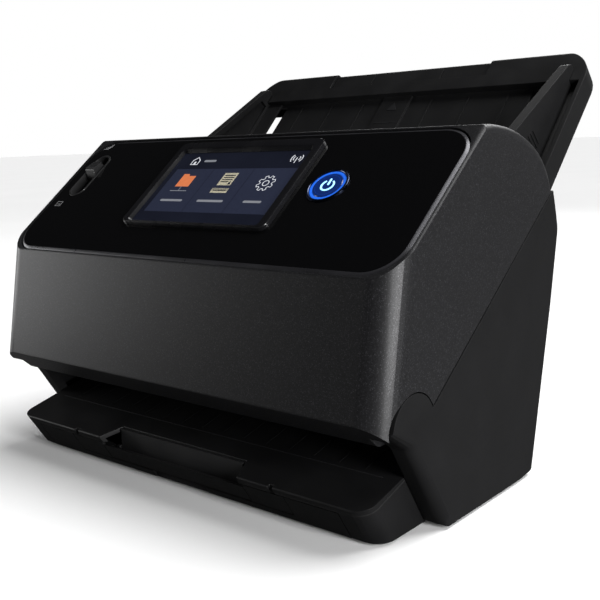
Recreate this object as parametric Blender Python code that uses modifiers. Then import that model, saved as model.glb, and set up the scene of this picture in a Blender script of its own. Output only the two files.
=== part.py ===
"""Desktop sheet fed document scanner, as an assembly of separate pieces with real joints.

Lengths are in millimetres and are turned into metres as each mesh is made. Three frames are used:
the world (X to the right, Y to the rear, Z up), the paper path (x, s along the path, n out of it) and
the control panel (x, u up the slope, w out of it).
"""

import math

import bmesh
import bpy
from mathutils import Matrix, Vector
from mathutils.geometry import convex_hull_2d

MM = 0.001

# Outer size and general fits
WIDTH = 291.0
DEPTH = 253.0
FLOOR_GAP = 1.5
GAP = 0.3
WALL = 2.5
ARC_STEP = 15.0

# Side view of the machine: (distance behind the front lip, height)
FRONT_LIP = (0.0, 62.0)
FRONT_TOP = (11.3, 124.7)
PANEL_TOP = (90.4, 188.4)
CROWN_PULLS = ((118.0, 190.0), (155.0, 179.0))
SEAM_TOP = (161.5, 153.4)
SEAM_BOTTOM = (41.3, 64.2)
CHIN_BACK = (14.0, 49.5)
CORNER_RADIUS = 20.0
FRONT_CORNER = 16.0
HINGE = (24.8, 56.5)
LOBE_RADIUS = 16.7
COVER_INNER_X = 133.6
REAR_TOP = (170.1, 133.1)
REAR_BEND = (162.0, 92.0)
REAR_FOOT = (140.5, FLOOR_GAP)
CHEEK_CORNER = (22.5, 47.1)
CHEEK_FOOT = (50.6, FLOOR_GAP)

# Paper path frame: 45 degrees, n = 0 on the feed tray's floor
PATH_OFFSET = 21.5
PATH_ANGLE = math.radians(45.0)
FEED_ROLLER = (178.0, -12.2, 12.0)
REGISTRATION_ROLLER = (150.0, -6.2, 6.0)
EJECT_ROLLER = (88.0, -6.2, 6.0)
MOTOR = (104.0, -36.0, 16.0)
SHAFT_RADIUS = 3.0
PULLEY_X = (-137.5, -130.5)

# Feed tray
TRAY_HALF_WIDTH = 132.5
TRAY_START = 200.0
TRAY_END = 339.4
TRAY_FRONT = 4.6
TRAY_BACK = -9.9
TRAY_SPLIT = -8.1
TRAY_RECESS_END = 313.0
TRAY_RECESS_X = 129.6
TRAY_CORNER = 24.0
WINDOW_X = (100.0, 119.0)
WINDOW_S = (226.0, 311.0)
NOTCH_HALF = 63.5
NOTCH_START = 324.0

# Document guides, at their widest
GUIDE_X = (118.0, 124.0)
GUIDE_FLANGE_X = 105.0
GUIDE_TRAVEL = 93.0
PINION_CENTRE = 209.0
PINION_RADIUS = 5.0
PINION_TEETH = 10
RACK_DEPTH = 8.4

# Eject tray
DECK_FRONT = (3.0, 21.4)
DECK_SLOPE = math.radians(14.6)
DECK_END = 58.0
TRAY_FOOT = 15.6
EJECT_HALF_WIDTH = 133.3
EJECT_CORNER = 10.0
STOPPER_AXIS = (15.3, 12.4)
STOPPER_HALF = 48.5

# Sockets at the rear: name, lowest and highest corner in rear view, colour
SOCKETS = (
    ("dc_inlet", (-107, 24.5), (-95, 37.5), (0.01, 0.01, 0.01)),
    ("usb_socket", (-82, 25.5), (-69.5, 37), (0.6, 0.6, 0.6)),
    ("lan_socket", (-57, 24.5), (-41, 38.5), (0.6, 0.6, 0.6)),
)

# Control panel
PANEL_LENGTH = math.dist(FRONT_TOP, PANEL_TOP)
PANEL_ANGLE = math.atan2(PANEL_TOP[1] - FRONT_TOP[1], PANEL_TOP[0] - FRONT_TOP[0])
PANEL_HALF = 143.2
BUTTON = (75.0, 58.5)
LEVER = (-125.5, 67.0)
LEVER_PIVOT = (67.0, -24.0)
LEVER_LEAN = 13.0


# ---------------------------------------------------------------- scene and frames


def clear_scene():
    for obj in list(bpy.data.objects):
        bpy.data.objects.remove(obj, do_unlink=True)


def new_collection(name):
    collection = bpy.data.collections.new(name)
    bpy.context.scene.collection.children.link(collection)
    return collection


clear_scene()
PARTS = new_collection("document_scanner")
HELPERS = new_collection("helpers")
HELPERS.hide_render = True


def new_frame(name, origin, angle):
    """An empty that is turned about X; pieces parented to it are drawn flat."""
    frame = bpy.data.objects.new(name, None)
    frame.location = Vector(origin) * MM
    frame.rotation_euler = (angle, 0.0, 0.0)
    PARTS.objects.link(frame)
    return frame


MIDDLE = DEPTH / 2
PATH = new_frame("path_frame", (0, PATH_OFFSET / 2 - MIDDLE, -PATH_OFFSET / 2), PATH_ANGLE)
PANEL = new_frame("panel_frame", (0, FRONT_TOP[0] - MIDDLE, FRONT_TOP[1]), PANEL_ANGLE)


def path_to_side(s, n):
    """A point of the paper path, as (distance behind the front lip, height)."""
    root2 = math.sqrt(2.0)
    return ((s - n) / root2 + PATH_OFFSET / 2, (s + n) / root2 - PATH_OFFSET / 2)


# ---------------------------------------------------------------- outlines


def arc(centre, radius, start, end, step=ARC_STEP):
    """Points on a circle from one angle to another, in degrees."""
    count = max(2, math.ceil(abs(end - start) / step))
    turns = [math.radians(start + (end - start) * i / count) for i in range(count + 1)]
    return [(centre[0] + radius * math.cos(t), centre[1] + radius * math.sin(t)) for t in turns]


def bezier(first, pull_a, pull_b, last, count):
    """Points on a cubic curve, without its first point."""
    points = []
    for i in range(1, count + 1):
        t = i / count
        weights = ((1 - t) ** 3, 3 * t * (1 - t) ** 2, 3 * t * t * (1 - t), t**3)
        corners = (first, pull_a, pull_b, last)
        points.append(tuple(sum(w * c[k] for w, c in zip(weights, corners)) for k in (0, 1)))
    return points


def rounded(corners, step=ARC_STEP):
    """A closed outline: a corner given as (a, b, radius) becomes an arc, and (a, b) stays sharp."""
    outline = []
    for i, corner in enumerate(corners):
        here = Vector(corner[:2])
        radius = corner[2] if len(corner) == 3 else 0.0
        before = Vector(corners[i - 1][:2]) - here
        after = Vector(corners[(i + 1) % len(corners)][:2]) - here
        if not radius:
            outline.append(tuple(here))
            continue
        before.normalize()
        after.normalize()
        opening = before.angle(after)
        reach = radius / math.tan(opening / 2)
        middle = here + (before + after).normalized() * (radius / math.sin(opening / 2))
        first = here + before * reach - middle
        turn = math.pi - opening
        if first.cross(here + after * reach - middle) < 0:
            turn = -turn
        count = max(1, math.ceil(math.degrees(abs(turn)) / step))
        for k in range(count + 1):
            outline.append(tuple(middle + Matrix.Rotation(turn * k / count, 2) @ first))
    return outline


def rectangle(low, high, radius=0.0, step=ARC_STEP):
    (a0, b0), (a1, b1) = low, high
    corners = [(a0, b0), (a1, b0), (a1, b1), (a0, b1)]
    if radius:
        corners = [(a, b, radius) for a, b in corners]
    return rounded(corners, step)


def circle(centre, radius, count=24):
    return arc(centre, radius, 0, 360, 360 / count)[:-1]


# ---------------------------------------------------------------- solids

AXES = {
    "X": Matrix(((0, 0, 1, 0), (1, 0, 0, 0), (0, 1, 0, 0), (0, 0, 0, 1))),
    "Y": Matrix(((1, 0, 0, 0), (0, 0, -1, 0), (0, 1, 0, 0), (0, 0, 0, 1))),
    "Z": Matrix.Identity(4),
}


def to_object(name, mesh, frame):
    obj = bpy.data.objects.new(name, mesh)
    PARTS.objects.link(obj)
    obj.parent = frame
    return obj


def slab(name, outline, low, high, axis="X", frame=None):
    """A filled flat outline with thickness from low to high along an axis, as a welded mesh.

    In the world the outline of an X slab is in side view, so it is moved back by half the depth.
    """
    shift = MIDDLE if axis == "X" and frame is None else 0.0
    if sum(a[0] * b[1] - b[0] * a[1] for a, b in zip(outline, outline[1:] + outline[:1])) < 0:
        outline = outline[::-1]
    curve = bpy.data.curves.new(name, "CURVE")
    curve.dimensions = "2D"
    curve.fill_mode = "BOTH"
    curve.extrude = (high - low) / 2 * MM
    spline = curve.splines.new("POLY")
    spline.points.add(len(outline) - 1)
    for point, (a, b) in zip(spline.points, outline):
        point.co = ((a - shift) * MM, b * MM, 0.0, 1.0)
    spline.use_cyclic_u = True
    sheet = bpy.data.objects.new(name + "_curve", curve)
    PARTS.objects.link(sheet)
    evaluated = sheet.evaluated_get(bpy.context.evaluated_depsgraph_get())
    mesh = bpy.data.meshes.new_from_object(evaluated)
    bpy.data.objects.remove(sheet)
    middle = (low + high) / 2 * MM * (-1 if axis == "Y" else 1)
    work = bmesh.new()
    work.from_mesh(mesh)
    bmesh.ops.remove_doubles(work, verts=work.verts, dist=1e-6)
    bmesh.ops.dissolve_limit(work, angle_limit=0.01, verts=work.verts, edges=work.edges)
    bmesh.ops.transform(work, matrix=AXES[axis] @ Matrix.Translation((0, 0, middle)), verts=work.verts)
    bmesh.ops.recalc_face_normals(work, faces=work.faces)
    work.to_mesh(mesh)
    work.free()
    mesh.name = name
    mesh.materials.clear()
    return to_object(name, mesh, frame)


def box(name, low, high, frame=None):
    """A box between two corners. In the world, the second number counts from the front lip."""
    shift = Vector((0, MIDDLE if frame is None else 0.0, 0))
    low = (Vector(low) - shift) * MM
    high = (Vector(high) - shift) * MM
    work = bmesh.new()
    bmesh.ops.create_cube(work, size=1.0)
    size = Matrix.Diagonal((*(high - low), 1.0))
    bmesh.ops.transform(work, matrix=Matrix.Translation((low + high) / 2) @ size, verts=work.verts)
    mesh = bpy.data.meshes.new(name)
    work.to_mesh(mesh)
    work.free()
    return to_object(name, mesh, frame)


def turned(name, stations, centre, frame=None, steps=20):
    """A piece turned about an X axis through centre, from (x, radius) stations in order of x.

    Stations that end where they began make a ring.
    """
    mesh = bpy.data.meshes.new(name)
    points = [(radius * MM, 0.0, x * MM) for x, radius in reversed(stations)]
    edges = [(i, i + 1) for i in range(len(points) - 1)]
    if stations[0] == stations[-1]:
        points.pop()
        edges[-1] = (len(points) - 1, 0)
    mesh.from_pydata(points, edges, [])
    obj = to_object(name, mesh, frame)
    shift = MIDDLE if frame is None else 0.0
    obj.location = Vector((0, centre[0] - shift, centre[1])) * MM
    obj.rotation_euler = (0.0, math.pi / 2, 0.0)
    screw = obj.modifiers.new("turn", "SCREW")
    screw.steps = steps
    screw.render_steps = steps
    screw.use_merge_vertices = True
    screw.merge_threshold = 1e-6
    return obj


def rod(name, centre, radius, low, high, frame=None, count=24):
    return slab(name, circle(centre, radius, count), low, high, "X", frame)


def helper(obj):
    """Takes an object out of the assembly, for use as a cutter or as a shape to join."""
    for collection in list(obj.users_collection):
        collection.objects.unlink(obj)
    HELPERS.objects.link(obj)
    obj.hide_render = True
    obj.display_type = "WIRE"
    return obj


def combine(obj, operation, others):
    for other in others:
        modifier = obj.modifiers.new(operation.lower(), "BOOLEAN")
        modifier.operation = operation
        modifier.solver = "EXACT"
        modifier.object = helper(other)
    return obj


def cut(obj, *others):
    return combine(obj, "DIFFERENCE", others)


def join(obj, *others):
    return combine(obj, "UNION", others)


def keep_within(obj, *others):
    return combine(obj, "INTERSECT", others)


def round_edges(obj, width, rule, segments=3):
    """Rounds the edges whose middle meets the rule, in the object's own millimetres."""
    mesh = obj.data
    weights = mesh.attributes.new("bevel_weight_edge", "FLOAT", "EDGE")
    for edge in mesh.edges:
        ends = [mesh.vertices[i].co / MM for i in edge.vertices]
        weights.data[edge.index].value = rule(*((ends[0] + ends[1]) / 2), ends[1] - ends[0])
    bevel = obj.modifiers.new("rounding", "BEVEL")
    bevel.limit_method = "WEIGHT"
    bevel.width = width * MM
    bevel.segments = segments
    bevel.use_clamp_overlap = False
    return obj


def set_origin(obj, point):
    """Moves a piece's origin to a point of its frame without moving its mesh."""
    shift = Vector(point) * MM - obj.location
    obj.data.transform(Matrix.Translation(-shift))
    obj.location = Vector(point) * MM


def paint(obj, colour, roughness, metallic=0.0):
    material = bpy.data.materials.new(obj.name)
    material.use_nodes = True
    shader = material.node_tree.nodes["Principled BSDF"]
    shader.inputs["Base Color"].default_value = (*colour, 1.0)
    shader.inputs["Roughness"].default_value = roughness
    shader.inputs["Metallic"].default_value = metallic
    obj.data.materials.append(material)
    return obj


def matte(obj, shade=0.018):
    return paint(obj, (shade, shade, shade * 1.05), 0.55)


def metal(obj, shade=0.55):
    return paint(obj, (shade, shade, shade), 0.35, 1.0)


def rubber(obj):
    return paint(obj, (0.03, 0.03, 0.03), 0.85)


def both_sides():
    return (("left", -1), ("right", 1))


def across(side, near, far):
    """The x range between two distances from the middle, on one side."""
    return sorted((side * near, side * far))


# ---------------------------------------------------------------- front unit


def front_profile(inset):
    """Side view of the front cover's outside, or of its hollow when inset."""
    lip, top, edge, end = FRONT_LIP, FRONT_TOP, PANEL_TOP, SEAM_TOP
    if not inset:
        crown = bezier(edge, *CROWN_PULLS, (end[0] - 0.2, end[1] + 0.6), 12)
        start = [(*CHIN_BACK, 5), (*lip, 1.5), (*top, 2), edge]
        return rounded(start + crown + [(SEAM_BOTTOM[0] - 0.4, 65.0), (28.0, CHIN_BACK[1])])
    crown = bezier((91.4, 185.8), (117.5, 187.3), (152.2, 176.4), (158.6, end[1]), 10)
    hollow = [(17.0, 52.0, 4), (3.8, 63.2, 1.5), (14.0, 123.9), (91.4, 185.8)]
    return rounded(hollow + crown + [(158.6, 125.0), (50.0, 52.0)])


def leaning_block(name, half, foot, lip, radius):
    """A block with rounded front corners from above, whose front leans through two points."""
    front, back = foot[0] - MIDDLE - 0.02, MIDDLE + 60.0
    corners = [(-half, front, radius), (half, front, radius), (half, back), (-half, back)]
    block = slab(name, rounded(corners, 9.0), -5, 215, "Z")
    lean = (lip[0] - foot[0]) / (lip[1] - foot[1])
    shear = Matrix.Identity(4)
    shear[1][2] = lean
    shear[1][3] = -lean * foot[1] * MM
    block.data.transform(shear)
    return block


def crown_edges(x, y, z, along):
    """How much to round an edge of the front cover: fully on the crown, a little beside the panel."""
    if abs(abs(x) - WIDTH / 2) > 0.01 or abs(along.x) > 0.01:
        return 0.0
    v = y + MIDDLE
    on_seam = z < SEAM_BOTTOM[1] + 2.0 + 0.742 * (v - SEAM_BOTTOM[0])
    if on_seam or v < FRONT_TOP[0]:
        return 0.0
    return 1.0 if v > PANEL_TOP[0] else 0.3


def make_front_cover():
    half = WIDTH / 2
    cover = slab("front_cover", front_profile(False), -half, half)
    round_edges(cover, 4.5, crown_edges, 4)
    keep_within(cover, leaning_block("front_plan", half, FRONT_LIP, FRONT_TOP, FRONT_CORNER))
    hollow = slab("front_hollow", front_profile(True), -half + 2.7, half - 2.7)
    low, high = ((v + WALL, z) for v, z in (FRONT_LIP, FRONT_TOP))
    keep_within(hollow, leaning_block("front_hollow_plan", half - 2.7, low, high, FRONT_CORNER - WALL))
    cut(cover, hollow)
    for name, side in both_sides():
        low, high = across(side, COVER_INNER_X - GAP, half + 2)
        cut(cover, rod("lobe_room_" + name, HINGE, LOBE_RADIUS + 0.5, low, high, count=48))
    opening = rectangle((-PANEL_HALF - 0.4, 1.0), (PANEL_HALF + 0.4, PANEL_LENGTH - 0.8), CORNER_RADIUS, 9)
    cut(cover, slab("panel_opening", opening, -4.5, 3.0, "Z", PANEL))
    low, high = across(-1, half - 4, half + 2)
    cut(cover, slab("latch_slot", seam_slot(15.3, 4.8), low, high))
    return paint(cover, (0.03, 0.03, 0.032), 0.42, 0.3)


def seam_slot(half_length, radius, shift=0.0):
    """A long slot in the side wall, parallel to the seam and above it."""
    turn = math.atan2(SEAM_TOP[1] - SEAM_BOTTOM[1], SEAM_TOP[0] - SEAM_BOTTOM[0])
    along = Vector((math.cos(turn), math.sin(turn)))
    middle = Vector((124.0, 146.0)) + along * shift
    ends = middle + along * (half_length - radius), middle - along * (half_length - radius)
    low, high = math.degrees(turn) - 90, math.degrees(turn) + 90
    return arc(ends[0], radius, low, high) + arc(ends[1], radius, high, high + 180)


def make_open_lever():
    """Sprung lever on the left: its tab slides in the slot, and the bar behind it carries two hooks."""
    half = WIDTH / 2
    lever = slab("open_lever", seam_slot(12.0, 4.4, 3.0), -half + 0.6, -half + 3.0)
    join(lever, slab("lever_back", seam_slot(21.0, 8.0), -half + 3.0 - 0.05, -half + 4.6))
    join(lever, slab("lever_ridge", seam_slot(2.2, 2.1, -4.0), -half + 0.1, -half + 2.0))
    join(lever, rod("lever_stub", (128.0, 149.0), 3.0, -half + 4.0, -134.0))
    matte(lever, 0.03)
    bar = rod("latch_bar", (128.0, 149.0), 2.6, -133.7, 131.5, count=16)
    hook = [(124, 153, 2), (124, 145, 2), (139, 143.5), (139, 139.8)]
    hook += [(144.5, 142.5, 1), (144.5, 148, 2), (132, 153, 2)]
    for name, side in both_sides():
        low, high = across(side, 128.6, 131.0)
        join(bar, slab("hook_" + name, rounded(hook), low, high))
    metal(bar)
    return lever, bar


def make_hinges():
    for name, side in both_sides():
        low, high = across(side, 124.0, COVER_INNER_X - 1.0)
        arm = arc(HINGE, 4.0, 130, 300) + [(56.0, 74.0), (56.0, 92.0), (34.0, 84.0)]
        bracket = slab("hinge_bracket_" + name, arm, low, high)
        cut(bracket, rod("bracket_bore_" + name, HINGE, 2.6, low - 1, high + 1))
        metal(bracket, 0.45)
        low, high = across(side, 125.5, 142.3)
        metal(rod("hinge_pin_" + name, HINGE, 2.3, low, high))


def make_upper_guide():
    """The front unit's inner plate over the paper path, with side flanges up into the cover."""
    sheet = [(74, 8.5), (79, 1.6), (188, 1.6), (218.8, 9.9), (218.8, 12.7)]
    sheet += [(187, 4.2), (81, 4.2), (76.5, 10.5)]
    guide = slab("upper_guide", sheet, -123.6, 123.6, "X", PATH)
    for name, side in both_sides():
        low, high = across(side, 121.2, 123.6)
        flange = [(80, 3), (187, 3), (205, 8), (180, 30), (150, 60), (90, 60), (66, 34), (76, 9)]
        join(guide, slab("upper_flange_" + name, flange, low, high, "X", PATH))
    cut(guide, box("retard_slot", (-24, 163, 0), (24, 196, 12), PATH))
    cut(guide, box("upper_window", (-113, 120.5, 0), (113, 135.5, 6), PATH))
    for s, _n, _radius in (REGISTRATION_ROLLER, EJECT_ROLLER):
        for low, high in sleeve_stretches():
            cut(guide, box("pinch_slot", (low - 1, s - 6.5, 0), (high + 1, s + 6.5, 14), PATH))
        cut(guide, box("pinch_shaft_room", (-118, s - 2.6, 3.0), (118, s + 2.6, 9), PATH))
    return matte(guide, 0.03)


def sleeve_stretches():
    """The x ranges of the rubber sleeves along a roller, left to right."""
    return ((-105, -85), (-60, -35), (35, 60), (85, 105))


def sleeved(low, high, shaft, sleeve):
    """Stations of a shaft with four rubber sleeves."""
    stations = [(low, 0.0), (low, shaft)]
    for start, end in sleeve_stretches():
        stations += [(start, shaft), (start, sleeve), (end, sleeve), (end, shaft)]
    return stations + [(high, shaft), (high, 0.0)]


def make_upper_rollers():
    s, n, radius = FEED_ROLLER
    stations = [(-50, 0), (-50, 3), (-20, 3), (-20, radius), (20, radius), (20, 3), (50, 3), (50, 0)]
    rubber(turned("retard_roller", stations, (s, radius + 0.3), PATH, 28))
    for name, roller in (("registration", REGISTRATION_ROLLER), ("eject", EJECT_ROLLER)):
        stations = sleeved(-116, 116, 2.0, 5.0)
        rubber(turned(name + "_pinch_roller", stations, (roller[0], 5.3), PATH, 16))
    flap = [(160, 6), (199, 7.8), (199, 25), (197, 27), (162, 27), (160, 25)]
    cover = slab("retard_roller_cover", flap, -34, 34, "X", PATH)
    cut(cover, box("retard_room", (-31.5, 161.5, 0), (31.5, 197.5, 25.4), PATH))
    cut(cover, box("retard_shaft_room", (-40, 174, 0), (40, 182, 16.5), PATH))
    matte(cover, 0.05)


def make_sensors():
    upper = box("upper_image_sensor", (-112, 121.2, 3.6), (112, 134.8, 15), PATH)
    lower = box("lower_image_sensor", (-112, 105.2, -15), (112, 118.8, -3.6), PATH)
    matte(upper, 0.05)
    matte(lower, 0.05)
    for name, low, high in (("upper", 121.2, 1.8), ("lower", 105.2, -3.2)):
        glass = box(name + "_sensor_glass", (-112, low, high), (112, low + 13.6, high + 1.4), PATH)
        paint(glass, (0.05, 0.09, 0.10), 0.05)


def make_panel():
    outline = rectangle((-PANEL_HALF, 1.4), (PANEL_HALF, PANEL_LENGTH - 1.2), CORNER_RADIUS - 0.4, 9)
    panel = slab("control_panel", outline, -3.0, -0.1, "Z", PANEL)
    cut(panel, slab("bezel_opening", rectangle((-55.8, 24.7), (55.8, 93.6), 5.3), -4, 1, "Z", PANEL))
    cut(panel, slab("button_opening", circle(BUTTON, 12.2, 32), -4, 1, "Z", PANEL))
    cut(panel, slab("lever_opening", lever_slot(7.8), -4, 1, "Z", PANEL))
    paint(panel, (0.004, 0.004, 0.006), 0.08)
    bezel = slab("display_bezel", rectangle((-55.5, 25), (55.5, 93.3), 5), -3, 2.6, "Z", PANEL)
    cut(bezel, slab("display_opening", rectangle((-49.3, 27.7), (49.3, 85.3), 1.0), -4, 4, "Z", PANEL))
    matte(bezel, 0.04)
    display = box("display_module", (-49, 28, -6), (49, 85, 0.6), PANEL)
    paint(display, (0.02, 0.025, 0.05), 0.06)


def ring(name, centre, inner, outer, low, high, frame):
    body = slab(name, circle(centre, outer, 36), low, high, "Z", frame)
    return cut(body, slab(name + "_bore", circle(centre, inner, 36), low - 1, high + 1, "Z", frame))


def make_power_button():
    bezel = ring("power_bezel", BUTTON, 10.4, 11.9, -2.6, 0.8, PANEL)
    paint(bezel, (0.02, 0.03, 0.06), 0.2, 0.8)
    paint(ring("power_light_ring", BUTTON, 8.8, 10.1, -2.6, 0.3, PANEL), (0.05, 0.3, 1.0), 0.3)
    button = slab("power_button", circle(BUTTON, 8.5, 36), -2.6, 0.5, "Z", PANEL)
    set_origin(button, (BUTTON[0], BUTTON[1], 0))
    paint(button, (0.01, 0.015, 0.03), 0.2)


def lever_slot(radius, half_length=19.5):
    x, u = LEVER
    upper, lower = (x, u + half_length - radius), (x, u - half_length + radius)
    return arc(upper, radius, 0, 180) + arc(lower, radius, 180, 360)


def make_feed_select_lever():
    """A pivoting lever in an oblong well; its axis lies along X below the well."""
    x, u = LEVER
    well = slab("lever_well", lever_slot(7.5, 19.2), -9.5, 0.3, "Z", PANEL)
    cut(well, slab("well_room", lever_slot(6.2, 17.9), -8.0, 2.0, "Z", PANEL))
    cut(well, box("well_slot", (x - 2.6, u - 13, -11), (x + 2.6, u + 13, -7), PANEL))
    matte(well, 0.03)
    blade = lever_points([(-2.6, 0), (2.6, 0), (2.6, 26), (-2.6, 26)])
    cap = lever_points([(-5.5, 19.5, 1.5), (5.5, 19.5, 1.5), (4.0, 27.6, 2.0), (-4.0, 27.6, 2.0)])
    lever = slab("feed_select_lever", blade, x - 2.0, x + 2.0, "X", PANEL)
    join(lever, rod("lever_axle", LEVER_PIVOT, 3.2, x - 9, x + 9, PANEL, 16))
    join(lever, slab("lever_cap", cap, x - 4.2, x + 4.2, "X", PANEL))
    set_origin(lever, (x, *LEVER_PIVOT))
    matte(lever, 0.025)


def lever_points(corners):
    """Corners given across and along the lever, from its pivot, which leans towards the well's top."""
    turn = math.radians(90 - LEVER_LEAN)
    out = Vector((math.cos(turn), math.sin(turn)))
    across_lever = Vector((out.y, -out.x))
    points = []
    for a, b, *radius in corners:
        points.append((*(Vector(LEVER_PIVOT) + across_lever * a + out * b), *radius))
    return rounded(points)


# ---------------------------------------------------------------- base


def cheek_profile(inset):
    if inset:
        front = [(54.0, 4.0), (31.0, 46.0), (44.0, 62.6)]
        return rounded(front + [(158.6, 147.6), (167.2, 133.0, 8), (159.4, 92.5, 20), (138.5, 4.0)])
    front = [(*CHEEK_FOOT, 6), (*CHEEK_CORNER, 8)]
    lobe = arc(HINGE, LOBE_RADIUS, 176, 25, 9)
    seam = [(SEAM_BOTTOM[0] + 0.1, SEAM_BOTTOM[1] - 0.2), (SEAM_TOP[0], SEAM_TOP[1] - 0.3)]
    rear = [(*REAR_TOP, 14), (*REAR_BEND, 40), (*REAR_FOOT, 3)]
    return rounded(front + lobe + seam + rear)


def cheek_edges(x, y, z, along):
    if abs(abs(x) - WIDTH / 2) > 0.01 or abs(along.x) > 0.01:
        return 0.0
    v = y + MIDDLE
    front_line = v < CHEEK_FOOT[0] + 0.5 and z < 56.8 and v < 31.0 + (47.0 - z) * 0.6
    rear_line = v > REAR_FOOT[0] - 4 and z < SEAM_TOP[1] - 4 and v > 138 + 0.19 * z
    return 1.0 if front_line else 0.5 if rear_line else 0.0


def make_side_covers():
    for name, side in both_sides():
        low, high = across(side, COVER_INNER_X, WIDTH / 2)
        cover = slab(name + "_side_cover", cheek_profile(False), low, high)
        round_edges(cover, 5.0, cheek_edges, 4)
        low, high = across(side, COVER_INNER_X - 1, WIDTH / 2 - WALL)
        cut(cover, slab("cheek_hollow_" + name, cheek_profile(True), low, high))
        low, high = across(side, COVER_INNER_X - 1, 142.6)
        cut(cover, rod("cheek_bore_" + name, HINGE, 2.6, low, high))
        matte(cover)


def make_rear_cover():
    outer = [(*REAR_FOOT, 1), (*REAR_BEND, 40), (169.4, 131.2)]
    inner = [(165.6, 127.4), (REAR_BEND[0] - WALL, REAR_BEND[1], 38), (137.9, FLOOR_GAP)]
    cover = slab("rear_cover", rounded(outer + inner, 9), -EJECT_HALF_WIDTH, EJECT_HALF_WIDTH)
    for name, low, high, _colour in SOCKETS:
        hole = (low[0] - GAP, 130, low[1] - GAP), (high[0] + GAP, 160, high[1] + GAP)
        cut(cover, box(name + "_hole", *hole))
    cut(cover, box("lock_slot", (96, 130, 26), (103, 160, 29)))
    for i in range(9):
        low = 60 + i * 6.5
        cut(cover, box("vent", (-100, 145, low), (-40, 170, low + 2.6)))
    return matte(cover)


def make_ports():
    """Power, USB and LAN sockets on the main board, reached through holes in the rear cover."""
    for name, low, high, colour in SOCKETS:
        body = box(name, (low[0], 130.6, low[1]), (high[0], 146.0, high[1]))
        if name == "dc_inlet":
            middle = ((low[0] + high[0]) / 2, (low[1] + high[1]) / 2)
            cut(body, slab("inlet_room", circle(middle, 4.6), 135 - MIDDLE, 150 - MIDDLE, "Y"))
            join(body, slab("inlet_pin", circle(middle, 1.0, 12), 132 - MIDDLE, 144 - MIDDLE, "Y"))
        else:
            room = (low[0] + 1.5, 134, low[1] + 1.5), (high[0] - 1.5, 150, high[1] - 1.5)
            cut(body, box(name + "_room", *room))
        paint(body, colour, 0.4)
    board = box("main_board", (-118, 128.4, 22), (20, 130.0, 78))
    paint(board, (0.01, 0.12, 0.05), 0.5)


def make_bottom():
    half = EJECT_HALF_WIDTH
    matte(box("bottom_cover", (-half, DECK_END + 0.4, FLOOR_GAP), (half, 137.4, FLOOR_GAP + 2)))
    for end, v in (("front", 36), ("rear", 126)):
        for name, side in both_sides():
            spot = (side * 112, v - MIDDLE)
            rubber(slab("foot_" + end + "_" + name, circle(spot, 8, 20), 0, FLOOR_GAP - GAP, "Z"))


def side_plate_outline():
    rear = [(157.0, 121.5), (156.0, 92.0), (136.0, 4.2), (64.0, 4.2)]
    return [path_to_side(76, 3.6), path_to_side(197, 3.6)] + rear


def make_base_frame():
    """Sheet metal side plates joined by a shelf; the drive shafts run in their bores."""
    frame = slab("base_frame", side_plate_outline(), 125.0, 127.4)
    join(frame, box("frame_shelf", (-126.2, 70, 19.0), (126.2, 126, 21.0)))
    join(frame, slab("frame_left_plate", side_plate_outline(), -127.4, -125.0))
    for s, n, _radius in (FEED_ROLLER, REGISTRATION_ROLLER, EJECT_ROLLER, MOTOR):
        cut(frame, rod("shaft_bore", path_to_side(s, n), SHAFT_RADIUS + 0.4, -130, 130, count=20))
    return metal(frame, 0.5)


def make_lower_guide():
    sheet = [(70.5, -8), (73, -3.2), (76, -1.3), (199.6, -1.3), (199.6, -3.8), (77, -3.8), (74.5, -9)]
    guide = slab("lower_guide", sheet, -124.6, 124.6, "X", PATH)
    cut(guide, box("feed_slot", (-24, 160, -5), (24, 192, 1), PATH))
    cut(guide, box("lower_window", (-113, 104.5, -5), (113, 119.5, 1), PATH))
    for roller in (REGISTRATION_ROLLER, EJECT_ROLLER):
        for low, high in sleeve_stretches():
            cut(guide, box("sleeve_slot", (low - 1, roller[0] - 6, -5), (high + 1, roller[0] + 6, 1), PATH))
        cut(guide, box("shaft_groove", (-126, roller[0] - 3.8, -6), (126, roller[0] + 3.8, -2.9), PATH))
    matte(guide, 0.03)
    cover = box("feed_roller_cover", (-23.5, 160.5, -3.6), (23.5, 191.5, -1.5), PATH)
    cut(cover, box("cover_slot", (-21, 168.3, -5), (21, 187.7, 1), PATH))
    matte(cover, 0.05)


def make_drive():
    low, high = PULLEY_X
    x0 = low - 1.5
    s, n, radius = FEED_ROLLER
    stations = [(x0, 0), (x0, SHAFT_RADIUS), (-20, SHAFT_RADIUS), (-20, radius), (20, radius)]
    stations += [(20, SHAFT_RADIUS), (129, SHAFT_RADIUS), (129, 0)]
    rubber(turned("feed_roller", stations, (s, n), PATH, 28))
    for name, roller in (("registration", REGISTRATION_ROLLER), ("eject", EJECT_ROLLER)):
        stations = sleeved(x0, 129, SHAFT_RADIUS, roller[2])
        rubber(turned(name + "_roller", stations, roller[:2], PATH, 16))
    motor = rod("drive_motor", MOTOR[:2], MOTOR[2], -124.6, -88, PATH, 28)
    cut(motor, rod("motor_bore", MOTOR[:2], SHAFT_RADIUS + GAP, -130, -100, PATH, 20))
    metal(motor, 0.3)
    for name, (s, n), radius in pulleys():
        stations = [(low, SHAFT_RADIUS + GAP), (low, radius), (high, radius), (high, SHAFT_RADIUS + GAP)]
        stations.append(stations[0])
        if name == "motor":
            shaft = [(high, SHAFT_RADIUS), (-101, SHAFT_RADIUS), (-101, 0)]
            stations = [(low, 0), (low, radius), (high, radius), *shaft]
        paint(turned(name + "_pulley", stations, (s, n), PATH, 28), (0.8, 0.8, 0.75), 0.4)
    belt = slab("drive_belt", belt_outline(1.6), low + 1, high - 1, "X", PATH)
    cut(belt, slab("belt_room", belt_outline(0.4), low - 1, high + 1, "X", PATH))
    rubber(belt)


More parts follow.
